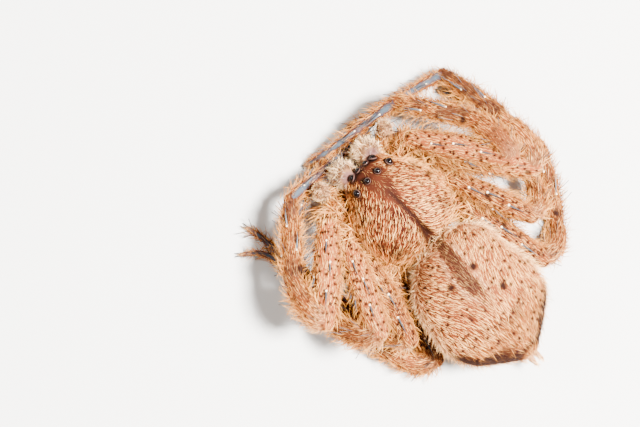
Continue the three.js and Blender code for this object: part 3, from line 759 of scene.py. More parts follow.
def region_of(points, marks):
    """Which piece of coat each vertex carries."""
    kind, number = marks[:, 0].astype(int), marks[:, 1].astype(int)
    names = np.array([REGIONS.index(limb.region) for limb in LIMBS])
    region = np.where(number >= 0, names[np.maximum(number, 0)], REGIONS.index("chest"))
    top, under = REGIONS.index("abdomen_top"), REGIONS.index("abdomen_under")
    halves = np.where(points[:, 2] > ABDOMEN_PARTING, top, under)
    return np.where(kind == KINDS.index("abdomen"), halves, region)


def set_attribute(mesh, name, values, kind="FLOAT", domain="POINT"):
    attribute = mesh.attributes.new(name, kind, domain)
    key = "vector" if kind == "FLOAT_VECTOR" else "value"
    attribute.data.foreach_set(key, np.asarray(values, np.int32 if kind == "INT" else np.float32).ravel())


UNWRAP_ANGLE = 66.0  # degrees between faces up to which they stay together in the map
UNWRAP_MARGIN = 0.002  # space between pieces of the map, of its width


def unwrap(mesh):
    """Lays the skin out flat by its own shape, in the map that the coat's pieces share."""
    obj = linked("unwrap", mesh)
    mesh.uv_layers.new(name="OFBake")
    bpy.context.view_layer.objects.active = obj
    obj.select_set(True)
    bpy.ops.object.mode_set(mode="EDIT")
    bpy.ops.mesh.select_all(action="SELECT")
    bpy.ops.uv.smart_project(angle_limit=math.radians(UNWRAP_ANGLE), island_margin=UNWRAP_MARGIN)
    bpy.ops.object.mode_set(mode="OBJECT")
    obj.select_set(False)
    bpy.data.objects.remove(obj)


def make_skin():
    """The skin's mesh in the spider's millimetres, with its marks."""
    vertices, faces, marks = skin_sources()
    mesh = grown_together(vertices, faces)
    points, normals = as_array(mesh.vertices, "co"), as_array(mesh.vertex_normals, "vector")
    own = nearest_marks(points, vertices, marks)
    points = carve(points, normals, own[:, 0].astype(int))
    points[:, 2] = np.maximum(points[:, 2], FLOOR_GAP)
    mesh.vertices.foreach_set("co", points.ravel())
    mesh.update()
    normals = as_array(mesh.vertex_normals, "vector")
    values = skin_marks(points, normals, own)
    for name in MARKS:
        set_attribute(mesh, name, values[name])
    set_attribute(mesh, "comb", values["comb"], "FLOAT_VECTOR")
    region = region_of(points, own)
    set_attribute(mesh, "region", [region[face.vertices[0]] for face in mesh.polygons], "INT", "FACE")
    unwrap(mesh)
    return mesh


# Materials

def srgb(text):
    """An sRGB hex colour as linear values."""
    parts = [int(text[i:i + 2], 16) / 255 for i in (1, 3, 5)]
    return tuple(c / 12.92 if c <= 0.04045 else ((c + 0.055) / 1.055) ** 2.4 for c in parts) + (1.0,)


def add(tree, kind, inputs=None, **settings):
    """A node with its settings, and its inputs set, or linked to a socket or to another node's result."""
    node = tree.nodes.new(kind)
    for name, value in settings.items():
        setattr(node, name, value)
    for name, value in (inputs or {}).items():
        if isinstance(value, bpy.types.Node):
            value = next(socket for socket in value.outputs if socket.enabled)
        if isinstance(value, bpy.types.NodeSocket):
            tree.links.new(value, node.inputs[name])
        else:
            node.inputs[name].default_value = value
    return node


# Sockets that have to be named by their number, because others of the node have the same name.
FACTOR, UNDER, OVER = 0, 6, 7  # of a mix of two colours
LOW, HIGH, SEED = 2, 3, 8  # of a random number
FIRST, SECOND = 0, 1  # of a sum or product
THIS, THAT = 2, 3  # of two whole numbers compared


def new_material(name, *marks):
    """A new material, its tree, and the marks that it reads from the mesh."""
    material = bpy.data.materials.new(name)
    material.use_nodes = True
    tree = material.node_tree
    tree.nodes.clear()
    read = []
    for mark in marks:
        node = add(tree, "ShaderNodeAttribute", attribute_type="GEOMETRY", attribute_name=mark)
        read.append(node.outputs["Fac"])
    return material, tree, *read


def give_surface(tree, values):
    """The material's surface with these values, joined to its output."""
    surface = add(tree, "ShaderNodeBsdfPrincipled", values)
    add(tree, "ShaderNodeOutputMaterial", {"Surface": surface})


def in_millimetres(tree):
    """Object coordinates, in millimetres."""
    place = add(tree, "ShaderNodeTexCoord").outputs["Object"]
    return add(tree, "ShaderNodeMapping", {"Vector": place, "Scale": (1000, 1000, 1000)})


# Colours of the hairs, of the skin between them, and of the markings that both carry
HAIR_WARM = srgb("#964414")
HAIR_PALE = srgb("#ffbd6b")
# The hairs' roots: partly their own darker colour, partly painted shade at the base of each hair.
HAIR_ROOT_AND_SHADE = srgb("#8a4520")
SKIN_RED = srgb("#482010")
SKIN_WARM = srgb("#744024")
# Painted shade: the whole skin is multiplied by this colour, standing for the shade that the hairs cast on
# it.
PAINTED_GAP_SHADE = srgb("#8a5a40")
CREAM = srgb("#ffd9a0")
OCHRE = srgb("#cb873a")
ROSE = srgb("#ee9656")
DARK_BROWN = srgb("#35170b")
GREY_BROWN = srgb("#4c372f")
SLATE = srgb("#424f57")
SPOT_BROWN = srgb("#2c160b")
LAVENDER = srgb("#6e5866")
# Shares of a marking's colour that the skin takes: less than the hair, so that it stays darker.
SKIN_SHARE, ROSE_SHARE, SLATE_SHARE = 0.55, 0.36, 0.7
# Painted shade on the skin between the hairs; the hairs' roots are darkened partly for their own colour and
# partly as painted shade.
GAP_SHADE_SHARE, ROOT_SHADE_SHARE = 0.8, 0.85  # how strongly the skin and the hairs' roots are darkened
BLOTCH_MM = 2.2  # size of the soft pale and warm patches
DOTS_MM = dict(dotted=(1.0, 0.17), freckled=(0.6, 0.16))  # spacing and radius of the dots round stiff hairs
GRAIN_MM = 1 / 14  # size of the skin's grain, coarser than the real pores so that it shows
GRAIN_HEIGHT = 0.00004  # metres


def blotches(tree, low, high, least=0.0, most=1.0):
    """Soft patches, from least to most where the noise goes from low to high."""
    noise = add(tree, "ShaderNodeTexNoise", {
        "Vector": in_millimetres(tree), "Scale": 1 / BLOTCH_MM, "Detail": 2.0})
    return add(tree, "ShaderNodeMapRange", {
        "Value": noise, "From Min": low, "From Max": high, "To Min": least, "To Max": most})


def laid_over(tree, colour, tone, name, share=1.0):
    """A colour with a tone over it where the mesh carries a marking, by the share that is taken of it."""
    mark = add(tree, "ShaderNodeAttribute", attribute_type="GEOMETRY", attribute_name=name).outputs["Fac"]
    amount = add(tree, "ShaderNodeMath", {FIRST: mark, SECOND: share}, operation="MULTIPLY")
    return add(tree, "ShaderNodeMix", {FACTOR: amount, UNDER: colour, OVER: tone}, data_type="RGBA")


def marked(tree, colour, share):
    """The markings that skin and hair have in common, over each one's own colour, by the share it takes."""
    for name, tone in (("ochre", OCHRE), ("cream", CREAM), ("grey", GREY_BROWN), ("slate", SLATE)):
        colour = laid_over(tree, colour, tone, name, share)
    colour = laid_over(tree, colour, LAVENDER, "lavender")
    colour = laid_over(tree, colour, DARK_BROWN, "dark", share)
    for name, (spacing, radius) in DOTS_MM.items():
        cells = add(tree, "ShaderNodeTexVoronoi", {"Vector": in_millimetres(tree), "Scale": 1 / spacing},
                    voronoi_dimensions="2D")
        dot = add(tree, "ShaderNodeMapRange", {
            "Value": cells, "From Min": 0.3 * radius / spacing, "From Max": 1.3 * radius / spacing,
            "To Min": 1.0, "To Max": 0.0})
        colour = laid_over(tree, colour, DARK_BROWN, name, dot)
    return laid_over(tree, colour, SPOT_BROWN, "spot")


def skin_material():
    """Chitin skin under the hair: dull, warm, darkened with painted shade from the coat, with a fine grain
    where the hair is rooted.
    """
    material, tree, warm = new_material("haired_chitin_skin", "warm")
    tone = blotches(tree, 0.35, 0.65)
    tone = add(tree, "ShaderNodeMath", {FIRST: tone, SECOND: warm}, operation="SUBTRACT")
    base = add(tree, "ShaderNodeMix", {FACTOR: tone, UNDER: SKIN_RED, OVER: SKIN_WARM}, data_type="RGBA")
    base = laid_over(tree, base, ROSE, "rose", ROSE_SHARE)
    colour = marked(tree, base, SKIN_SHARE)
    # Painted shade: the skin is darkened all over, for the shade that the coat casts on it.
    colour = add(tree, "ShaderNodeMix", {FACTOR: GAP_SHADE_SHARE, UNDER: colour, OVER: PAINTED_GAP_SHADE},
                 data_type="RGBA", blend_type="MULTIPLY")
    colour = laid_over(tree, colour, SLATE, "slate", SLATE_SHARE)
    grain = add(tree, "ShaderNodeTexNoise", {
        "Vector": in_millimetres(tree), "Scale": 1 / GRAIN_MM, "Detail": 3.0})
    bumps = add(tree, "ShaderNodeBump", {"Height": grain, "Strength": 0.5, "Distance": GRAIN_HEIGHT})
    give_surface(tree, {
        "Base Color": colour, "Roughness": 0.7, "IOR": 1.5, "Specular IOR Level": 0.04, "Normal": bumps})
    return material


def hair_material():
    """Fine spider hair: red-brown at the root, partly its own colour and partly painted shade, pale at the
    tip, each hair its own tone.
    """
    material, tree, shade, tone, warm, along = new_material(
        "fine_hair_of_the_coat", "shade", "tone", "warm", "along")
    patches = blotches(tree, 0.3, 0.7, -0.25, 0.25)
    paleness = shade
    for other, operation in ((patches, "SUBTRACT"), (tone, "ADD"), (warm, "SUBTRACT")):
        paleness = add(tree, "ShaderNodeMath", {FIRST: paleness, SECOND: other}, operation=operation)
    paleness = add(tree, "ShaderNodeMapRange", {"Value": paleness, "From Min": 0.4, "From Max": 1.02})
    base = add(tree, "ShaderNodeMix", {FACTOR: paleness, UNDER: HAIR_WARM, OVER: HAIR_PALE}, data_type="RGBA")
    share = add(tree, "ShaderNodeMapRange", {"Value": shade, "To Min": 1.0, "To Max": 0.6})
    own = marked(tree, base, share)
    # Partly painted shade: each hair is darkened toward its root, where the coat shades it, over its own
    # darker root colour.
    root = add(tree, "ShaderNodeMix", {FACTOR: ROOT_SHADE_SHARE, UNDER: own, OVER: HAIR_ROOT_AND_SHADE},
               data_type="RGBA", blend_type="MULTIPLY")
    upward = add(tree, "ShaderNodeMapRange", {"Value": along, "From Max": 0.6})
    colour = add(tree, "ShaderNodeMix", {FACTOR: upward, UNDER: root, OVER: own}, data_type="RGBA")
    give_surface(tree, {"Base Color": colour, "Roughness": 0.55, "IOR": 1.5, "Specular IOR Level": 0.08})
    return material


# Small parts of one colour and one gloss all over: colour and roughness of each.
PLAIN = {
    # Soft bare skin: small pale dots at the feet of the spines.
    "pale_skin_of_the_spine_sockets": ("#efd2ac", 0.5),
    # Thin hairs of horn: fine dark strokes over the coat, with a dull gleam.
    "dark_horn_of_the_bristles": ("#3a241a", 0.5),
    # Hard hooks: dark, with a small glint.
    "dark_horn_of_the_claws": ("#33211a", 0.3),
    # Horn worn smooth: nearly black, with a clear highlight.
    "polished_horn_of_the_fangs": ("#2a1410", 0.22),
    # Dull brown skin: quiet rings that set off the bright lenses.
    "bare_skin_round_the_eyes": ("#3a1c0e", 0.8),
}


def plain_material(name):
    colour, roughness = PLAIN[name]
    material, tree = new_material(name)
    give_surface(tree, {"Base Color": srgb(colour), "Roughness": roughness, "IOR": 1.5})
    return material


def eye_material():
    """The lens of an eye: black with a dark amber glint painted toward its edge, polished like glass."""
    material, tree = new_material("polished_eye_lens")
    # Painted glint: the lens turns dark amber toward its edge, where it faces away from the camera.
    facing = add(tree, "ShaderNodeLayerWeight", {"Blend": 0.35}).outputs["Facing"]
    colour = add(tree, "ShaderNodeMix", {FACTOR: facing, UNDER: srgb("#060404"), OVER: srgb("#1d0d07")},
                 data_type="RGBA")
    give_surface(tree, {"Base Color": colour, "Roughness": 0.06, "IOR": 1.42, "Specular IOR Level": 0.22})
    return material


def spine_material():
    """Stiff spines: smooth grey horn, pale at the foot and dark brown at the point."""
    material, tree, along = new_material("horn_of_the_spines", "along")
    colour = srgb("#e9cfae")
    for start, end, tone in ((0.0, 0.14, "#3d3f42"), (0.5, 1.0, "#241b18")):
        upward = add(tree, "ShaderNodeMapRange", {"Value": along, "From Min": start, "From Max": end})
        layers = {FACTOR: upward, UNDER: colour, OVER: srgb(tone)}
        colour = add(tree, "ShaderNodeMix", layers, data_type="RGBA")
    give_surface(tree, {"Base Color": colour, "Roughness": 0.4, "IOR": 1.54, "Specular IOR Level": 0.35})
    return material


# Tufts of hair: a few tapered closed hairs from one root, growing up and bending to +X

HAIR_SIDES = 3
HAIR_TAPER = 0.75  # how much thinner a hair is near its point
ROOT_SPREAD = 0.12  # how far a tuft's hairs stand apart at the root


def hair(length, half_width, bend, way, rows):
    """One closed hair, its vertices, faces and how far along it each vertex is."""
    points, faces, along = [], [], []
    for r in range(rows + 1):
        t = r / (rows + 1)
        width = half_width * (1 - HAIR_TAPER * t)
        for s in range(HAIR_SIDES):
            a = 2 * math.pi * s / HAIR_SIDES
            aside = bend * t * t * length
            points.append(np.array((aside + math.cos(a) * width, math.sin(a) * width, t * length)))
            along.append(t)
    points.append(np.array((bend * length, 0, length)))
    along.append(1.0)
    for r in range(rows):
        faces += belt(r * HAIR_SIDES, (r + 1) * HAIR_SIDES, HAIR_SIDES)
    last = rows * HAIR_SIDES
    faces += [(last + s, last + (s + 1) % HAIR_SIDES, last + HAIR_SIDES) for s in range(HAIR_SIDES)]
    faces.append(tuple(reversed(range(HAIR_SIDES))))
    turn = np.array(Matrix.Rotation(math.radians(way), 3, "Z"))
    return [turn @ p for p in points], faces, along


def tuft(name, hairs, spread, half_width, bend, rows, pale=0.0):
    """A tuft up to one millimetre long: hairs of their own length that fan out by the spread.

    Pale tufts don't take the dark markings under them.
    """
    rng = np.random.default_rng(SEEDS[name])
    vertices, faces, alongs, tones, patches = [], [], [], [], []
    for number in range(hairs):
        length = rng.uniform(0.65, 1.0)
        own_bend = bend * rng.uniform(0.6, 1.4)
        points, hair_faces, along = hair(length, half_width, own_bend, rng.uniform(-35, 35), rows)
        lean = rng.normal(0, spread, 2)
        root = rng.uniform(-ROOT_SPREAD, ROOT_SPREAD, 2)
        points = [p + np.array((*(lean * p[2] + root), 0)) for p in points]
        join_shape(vertices, faces, points, hair_faces)
        alongs.extend(along)
        tones.extend([rng.random()] * len(points))
        patches.extend([((number + 0.5) / hairs - 0.5, a - 0.5, 0) for a in along])
    obj = mesh_object(name, vertices, faces)
    set_attribute(obj.data, "along", alongs)
    set_attribute(obj.data, "tone", tones)
    set_attribute(obj.data, "pale", [pale] * len(vertices))
    set_attribute(obj.data, "patch", patches, "FLOAT_VECTOR")
    return obj


EVENNESS = 0.72  # least space between two tufts, of their mean spacing
ASKED_FOR = 1.6  # tufts tried for each one that finds room
SIZES = (0.7, 1.2)  # smallest and largest tuft, of the mean
PATCH = 0.003  # width of a tuft's own patch in the map
# What the tree reads from the skin and from the tufts.
READ_MARKS = dict(
    region="INT", comb="FLOAT_VECTOR", unruly="FLOAT", hair="FLOAT", density="FLOAT", fringe="FLOAT",
    dark="FLOAT", grey="FLOAT", spot="FLOAT", slate="FLOAT", pale="FLOAT", patch="FLOAT_VECTOR",
    OFBake="FLOAT_VECTOR")
LAYER_SIZES = ("density", "length", "lift", "disorder")


def coat_sockets(tree, layers):
    """The named inputs and the output of the coat's tree."""
    kinds = {"Geometry": "Geometry", "Region": "Int", "Seed": "Int", "Material": "Material"}
    for layer in layers:
        kinds[f"{layer} tuft"] = "Object"
        kinds.update({f"{layer} {size}": "Float" for size in LAYER_SIZES})
    for name, kind in kinds.items():
        tree.interface.new_socket(name, in_out="INPUT", socket_type=f"NodeSocket{kind}")
    tree.interface.new_socket("Geometry", in_out="OUTPUT", socket_type="NodeSocketGeometry")


def layer_of_tufts(put, given, marks, skin_patch, layer, thinned_by, order):
    """One layer of tufts on a patch of skin: scattered, laid along the comb, sized and shaded."""
    density, length, lift, disorder = (given[f"{layer} {size}"] for size in LAYER_SIZES)
    seed, size_seed, shade_seed = (put("ShaderNodeMath", {FIRST: given["Seed"], SECOND: 10.0 * order + more},
                                       operation="ADD") for more in (0, 3, 5))
    spacing = put("ShaderNodeMath", {FIRST: density, SECOND: -0.5}, operation="POWER")
    scatter = put("GeometryNodeDistributePointsOnFaces", {
        "Mesh": skin_patch,
        "Distance Min": put("ShaderNodeMath", {FIRST: spacing, SECOND: EVENNESS}, operation="MULTIPLY"),
        "Density Max": put("ShaderNodeMath", {FIRST: density, SECOND: ASKED_FOR}, operation="MULTIPLY"),
        "Density Factor": marks[thinned_by], "Seed": seed}, distribute_method="POISSON")
    pressed = put("ShaderNodeMath", {FIRST: 1.0, SECOND: lift}, operation="SUBTRACT")
    flat = put("ShaderNodeVectorMath", {"Vector": marks["comb"], "Scale": pressed}, operation="SCALE")
    out = put("ShaderNodeVectorMath", {"Vector": scatter.outputs["Normal"], "Scale": lift}, operation="SCALE")
    lie = put("ShaderNodeVectorMath", {FIRST: flat, SECOND: out}, operation="ADD")
    jitter = put("FunctionNodeRandomValue", {"Min": (-1.0,) * 3, "Max": (1.0,) * 3, SEED: seed},
                 data_type="FLOAT_VECTOR")
    loose = put("ShaderNodeMath", {FIRST: disorder, SECOND: marks["unruly"]}, operation="MULTIPLY")
    stray = put("ShaderNodeVectorMath", {"Vector": jitter, "Scale": loose}, operation="SCALE")
    way = put("ShaderNodeVectorMath", {FIRST: lie, SECOND: stray}, operation="ADD")
    bent_to = put("ShaderNodeVectorMath", {FIRST: flat, SECOND: out}, operation="SUBTRACT")
    turn = put("FunctionNodeAxesToRotation", {"Primary Axis": way, "Secondary Axis": bent_to},
               primary_axis="Z", secondary_axis="X")
    own = put("FunctionNodeRandomValue", {LOW: SIZES[0], HIGH: SIZES[1], SEED: size_seed})
    mean = put("ShaderNodeMath", {FIRST: length, SECOND: marks["hair"]}, operation="MULTIPLY")
    size = put("ShaderNodeMath", {FIRST: mean, SECOND: own}, operation="MULTIPLY")
    shape = put("GeometryNodeObjectInfo", {"Object": given[f"{layer} tuft"]}).outputs["Geometry"]
    tufts = put("GeometryNodeInstanceOnPoints", {
        "Points": scatter.outputs["Points"], "Instance": shape, "Rotation": turn, "Scale": size})
    shade = put("FunctionNodeRandomValue", {LOW: 0.0, HIGH: 1.0, SEED: shade_seed})
    return put("GeometryNodeStoreNamedAttribute", {"Geometry": tufts, "Name": "shade", "Value": shade},
               data_type="FLOAT", domain="INSTANCE")


def coat_tree(layers):
    """Geometry Nodes that set tufts on one region of the skin, in the lie of its coat.

    Each layer has its tuft, the mark that thins it out, tufts per square millimetre, length, lift and
    disorder. Every hair takes the skin's sharp markings from the place it lies over, so that they stay sharp.
    """
    tree = bpy.data.node_groups.new("coat_of_tufts", "GeometryNodeTree")
    coat_sockets(tree, layers)
    put = partial(add, tree)
    given = put("NodeGroupInput").outputs
    marks = {name: put("GeometryNodeInputNamedAttribute", {"Name": name}, data_type=kind)
             for name, kind in READ_MARKS.items()}
    here = put("FunctionNodeCompare", {THIS: marks["region"], THAT: given["Region"]},
               data_type="INT", operation="EQUAL")
    skin_patch = put("GeometryNodeSeparateGeometry", {"Geometry": given["Geometry"], "Selection": here},
                     domain="FACE")
    joined = put("GeometryNodeJoinGeometry")
    for order, (layer, thinned_by) in enumerate(layers.items()):
        tufts = layer_of_tufts(put, given, marks, skin_patch, layer, thinned_by, order)
        tree.links.new(tufts.outputs[0], joined.inputs[0])
    coat = put("GeometryNodeRealizeInstances", {"Geometry": joined})
    held_up = put("ShaderNodeVectorMath", {
        FIRST: put("GeometryNodeInputPosition"), SECOND: (-1000.0, -1000.0, FLOOR_GAP)}, operation="MAXIMUM")
    coat = put("GeometryNodeSetPosition", {"Geometry": coat, "Position": held_up})
    takes_dark = put("ShaderNodeMath", {FIRST: 1.0, SECOND: marks["pale"]}, operation="SUBTRACT")
    for name in ("dark", "grey", "spot", "slate"):
        under = put("GeometryNodeSampleNearestSurface", {"Mesh": given["Geometry"], "Value": marks[name]})
        if name != "spot":
            under = put("ShaderNodeMath", {FIRST: under, SECOND: takes_dark}, operation="MULTIPLY")
        coat = put("GeometryNodeStoreNamedAttribute", {"Geometry": coat, "Name": name, "Value": under},
                   data_type="FLOAT", domain="POINT")
    spread = put("ShaderNodeVectorMath", {"Vector": marks["patch"], "Scale": PATCH}, operation="SCALE")
    on_map = put("ShaderNodeVectorMath", {FIRST: marks["OFBake"], SECOND: spread}, operation="ADD")
    coat = put("GeometryNodeStoreNamedAttribute", {"Geometry": coat, "Name": "OFBake", "Value": on_map},
               data_type="FLOAT2", domain="CORNER")
    coat = put("GeometryNodeSetMaterial", {"Geometry": coat, "Material": given["Material"]})
    put("NodeGroupOutput", {"Geometry": coat})
    return tree


def socket_ids(tree):
    return {item.name: item.identifier for item in tree.interface.items_tree if item.in_out == "INPUT"}


# Each region's coat, the short one and the long hairs where the marks ask for them: tufts per square
# millimetre, length in mm, and how much they lift off the skin and stray from the comb.
COATS = {
    "abdomen_top": dict(short=(30, 0.62, 0.22, 0.3), long=(24, 1.1, 0.5, 0.3)),
    "abdomen_under": dict(short=(14, 0.7, 0.24, 0.2), long=(6, 0.9, 0.45, 0.3)),
    "chest": dict(short=(31, 0.6, 0.22, 0.26), long=(16, 0.9, 0.5, 0.3)),
    "face": dict(short=(38, 0.66, 0.34, 0.22), long=(30, 1.0, 0.42, 0.28)),
    "tail": dict(short=(90, 0.7, 0.12, 0.08), long=(70, 1.1, 0.1, 0.06)),
    "leg": dict(short=(31, 0.55, 0.2, 0.2), long=(23, 1.15, 0.58, 0.3)),
}
# Values that a finished piece of coat doesn't need.
SPARE = ("comb", "patch", "hair", "density", "fringe", "flat", "unruly", "region", "pale", "id")


def make_coat(skin):
    """The coat's pieces, one to a region, in the spider's millimetres."""
    tufts = {
        "short": tuft("short_tuft", hairs=2, spread=0.14, half_width=0.038, bend=0.45, rows=2),
        "long": tuft("long_tuft", hairs=1, spread=0.1, half_width=0.027, bend=0.5, rows=3, pale=0.8),
    }
    tree = coat_tree({"short": "density", "long": "fringe"})
    ids = socket_ids(tree)
    material = hair_material()
    carrier = linked("coat_carrier", skin)
    pieces = []
    for number, region in enumerate(REGIONS):
        values = {"Region": number, "Seed": SEEDS["coat"] + number, "Material": material}
        for layer, sizes in COATS[region if region in COATS else "leg"].items():
            values[f"{layer} tuft"] = tufts[layer]
            values.update({f"{layer} {name}": float(size) for name, size in zip(LAYER_SIZES, sizes)})
        modifier = carrier.modifiers.new("coat", "NODES")
        modifier.node_group = tree
        for name, value in values.items():
            modifier[ids[name]] = value
        mesh = evaluated_mesh(carrier, f"coat_{region}")
        for name in SPARE:
            mesh.attributes.remove(mesh.attributes[name])
        carrier.modifiers.remove(modifier)
        pieces.append(linked(f"coat_{region}", mesh))
    for spare in (carrier, *tufts.values()):
        bpy.data.objects.remove(spare)
    return pieces


# Spines, bristles, claws, fangs and eyes

def finish_mesh(obj, material):
    """Smooth faces, closed, pointing outward, with one material."""
    shape = bmesh.new()
    shape.from_mesh(obj.data)
    bmesh.ops.recalc_face_normals(shape, faces=shape.faces)
    shape.to_mesh(obj.data)
    shape.free()
    obj.data.shade_smooth()
    obj.data.materials.append(material)


def joined_limbs(name, limbs, material, rings=6, sides=8):
    """One mesh of closed tapered shapes."""
    vertices, faces, along = [], [], []
    for limb in limbs:
        points, limb_faces, ts, _, _ = limb.tube(rings, sides)
        join_shape(vertices, faces, points, limb_faces)
        along.extend(ts)
    obj = mesh_object(name, vertices, faces)
    set_attribute(obj.data, "along", along)
    finish_mesh(obj, material)
    return obj


def small_limb(kind, curve, widths):
    """A round tapered shape, such as a spine or a claw."""
    return Limb("", kind, curve, widths, thickness=1.0)


# Where spines stand on each kind of segment, place along it and angle round it, and their length in mm.
SPINES = {
    "femur": ([(0.28, 78), (0.48, 96), (0.74, 84), (0.6, 12)], 1.5),
    "tibia": ([(0.36, 62), (0.66, 118), (0.3, 168)], 1.5),
    "foot": ([(0.16, 100), (0.4, 82), (0.24, 172)], 1.3),
}
SPINE_HALF_WIDTHS = (0.085, 0.065, 0.018)
SOCKET_RADIUS = dict(femur=0.11, tibia=0.09, foot=0.07)
SPINE_LEAN = 0.85  # how far spines lie toward the foot: 0 upright, 1 flat
# Thin dark bristles over the coat: how many on each kind of segment, and their length in mm.
BRISTLES = {
    "femur": (9, 0.9), "patella": (7, 1.1), "tibia": (12, 1.2), "foot": (14, 1.0),
    "jaw": (22, 1.3), "palp": (10, 1.0), "palp_arm": (5, 0.9),
}
BRISTLE_HALF_WIDTHS = (0.022, 0.016, 0.005)
ROOT_SUNK = 0.1  # how deep a bristle or spine is rooted, in mm
LOWEST_POINT, HIGHEST_POINT = 0.1, 8.75  # between these heights end the points of spines and bristles


def leg_spines():
    """The stiff spines, and the pale round socket at the foot of each."""
    rng = np.random.default_rng(SEEDS["spines"])
    spines, sockets = [], []
    for limb in LIMBS:
        places, length = SPINES.get(limb.kind, ((), 0))
        for t, angle in places:
            place, out, way = limb.surface(t, angle)
            reach = length * rng.uniform(0.85, 1.15)
            end = place + unit(out * (1 - SPINE_LEAN) + way * SPINE_LEAN) * reach
            if LOWEST_POINT < end[2] < HIGHEST_POINT:
                curve = bowed(place - out * 1.2 * ROOT_SUNK, end, out * 0.12 * reach)
                spines.append(small_limb("spine", curve, SPINE_HALF_WIDTHS))
                radius = SOCKET_RADIUS[limb.kind] * rng.uniform(0.7, 1.1)
                foot = bowed(place - out * radius, place + (out * 0.9 + way * 0.5) * radius, (0, 0, 0))
                sockets.append(small_limb("socket", foot, (radius,) * 3))
    return spines, sockets


def dark_bristles():
    """Single stiff hairs on the legs, jaws and palps, at random."""
    rng = np.random.default_rng(SEEDS["bristles"])
    bristles = []
    for limb in LIMBS:
        count, length = BRISTLES.get(limb.kind, (0, 0))
        for t, angle in zip(rng.uniform(0.05, 0.95, count), rng.uniform(-10, 190, count)):
            place, out, way = limb.surface(t, angle)
            reach = length * rng.uniform(0.7, 1.2)
            end = place + unit(out * rng.uniform(0.5, 1.1) + way * 0.7 + rng.normal(0, 0.15, 3)) * reach
            if LOWEST_POINT < end[2] < HIGHEST_POINT:
                curve = bowed(place - out * ROOT_SUNK, end, out * 0.1 * reach)
                bristles.append(small_limb("bristle", curve, BRISTLE_HALF_WIDTHS))
    return bristles


CLAW_LENGTH, CLAW_DROP, CLAW_SPACING = 0.42, 0.22, 0.1
CLAW_HALF_WIDTHS = (0.06, 0.05, 0.015)
CLAW_FLOOR = (0.12, 0.05)  # least heights of a claw's root and point


def claws():
    """Two small claws at the end of each foot."""
    found = []
    for limb in LIMBS:
        if limb.kind != "foot":
            continue
        point, way, side, top, _ = limb.at(1.0)
        for turn in (-1, 1):
            start = point + side * CLAW_SPACING * turn + top * 0.02 - way * 0.1
            end = start + way * CLAW_LENGTH + side * 0.5 * CLAW_SPACING * turn - top * CLAW_DROP
            start[2] = max(start[2], CLAW_FLOOR[0])
            end[2] = max(end[2], CLAW_FLOOR[1])
            found.append(small_limb("claw", bowed(start, end, top * 0.1), CLAW_HALF_WIDTHS))
    return found


# The fang of the left side: root, point and bow of its curve, and its half widths.
FANG = ((1.25, -5.75, 0.75), (0.25, -5.2, 0.4), (0, -0.2, -0.15))
FANG_HALF_WIDTHS = (0.3, 0.24, 0.1)


def fangs():
    """The right fang and the left one."""
    curves = [bowed(*(mirrored(place, side) for place in FANG)) for side in (-1, 1)]
    return [small_limb("fang", curve, FANG_HALF_WIDTHS) for curve in curves]


# Which way each eye of the left side looks.
EYE_OUT = {
    "anterior_median": (0.15, -0.95, 0.3),
    "anterior_lateral": (0.55, -0.8, 0.2),
    "posterior_median": (0.2, -0.35, 0.9),
    "posterior_lateral": (0.7, -0.25, 0.65),
}
RIM_RADIUS, RIM_THICKNESS = 0.93, 0.17  # of an eye's half size
RIM_STEPS, RIM_SIDES = 28, 8


def lens_ball(name, middle, radius, material):
    """A smooth ball for one eye."""
    ball = bmesh.new()
    bmesh.ops.create_uvsphere(ball, u_segments=32, v_segments=20, radius=radius)
    mesh = bpy.data.meshes.new(name)
    ball.to_mesh(mesh)
    ball.free()
    mesh.transform(Matrix.Translation(Vector(middle)))
    obj = linked(name, mesh)
    finish_mesh(obj, material)
    return obj


def rim_shape(middle, out, radius):
    """A low ring of bare skin round one eye."""
    side, up = across(out, (0, 0, 1) if abs(out[2]) < 0.8 else (0, 1, 0))
    vertices, faces = [], []
    for r in range(RIM_STEPS):
        a = 2 * math.pi * r / RIM_STEPS
        spoke = side * math.cos(a) + up * math.sin(a)
        for s in range(RIM_SIDES):
            b = 2 * math.pi * s / RIM_SIDES
            wide = radius * (RIM_RADIUS + RIM_THICKNESS * math.cos(b))
            vertices.append(middle + spoke * wide + out * radius * RIM_THICKNESS * math.sin(b))
        faces += belt(r * RIM_SIDES, (r + 1) % RIM_STEPS * RIM_SIDES, RIM_SIDES)
    return vertices, faces


def make_eyes(lens_material, rim_material):
    """Each lens with the name of the solid eye it stands for, and one mesh of all their rims."""
    eyes, vertices, faces = [], [], []
    for name, (*place, radius) in EYES.items():
        for letter, side in (("l", 1), ("r", -1)):
            middle = mirrored(place, side)
            lens = lens_ball(f"lens_{name}_{letter}", middle, radius, lens_material)
            eyes.append((lens, f"eye_{name}_{letter}"))
            join_shape(vertices, faces, *rim_shape(middle, unit(mirrored(EYE_OUT[name], side)), radius))
    rims = mesh_object("eye_rims", vertices, faces)
    finish_mesh(rims, rim_material)
    return eyes, rims


# Putting it together

def deliver(obj, slot, *nodes):
    """A finished piece: in metres, on the one body, in place of CAD nodes; the slot is not used."""
    to_model(obj.data)
    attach(obj, "root")
    if nodes:
        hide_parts(*nodes)


skin_mesh = make_skin()
coat_pieces = make_coat(skin_mesh)
skin_mesh.materials.clear()
skin_mesh.materials.append(skin_material())
skin_mesh.shade_smooth()
skin = linked("skin", skin_mesh)

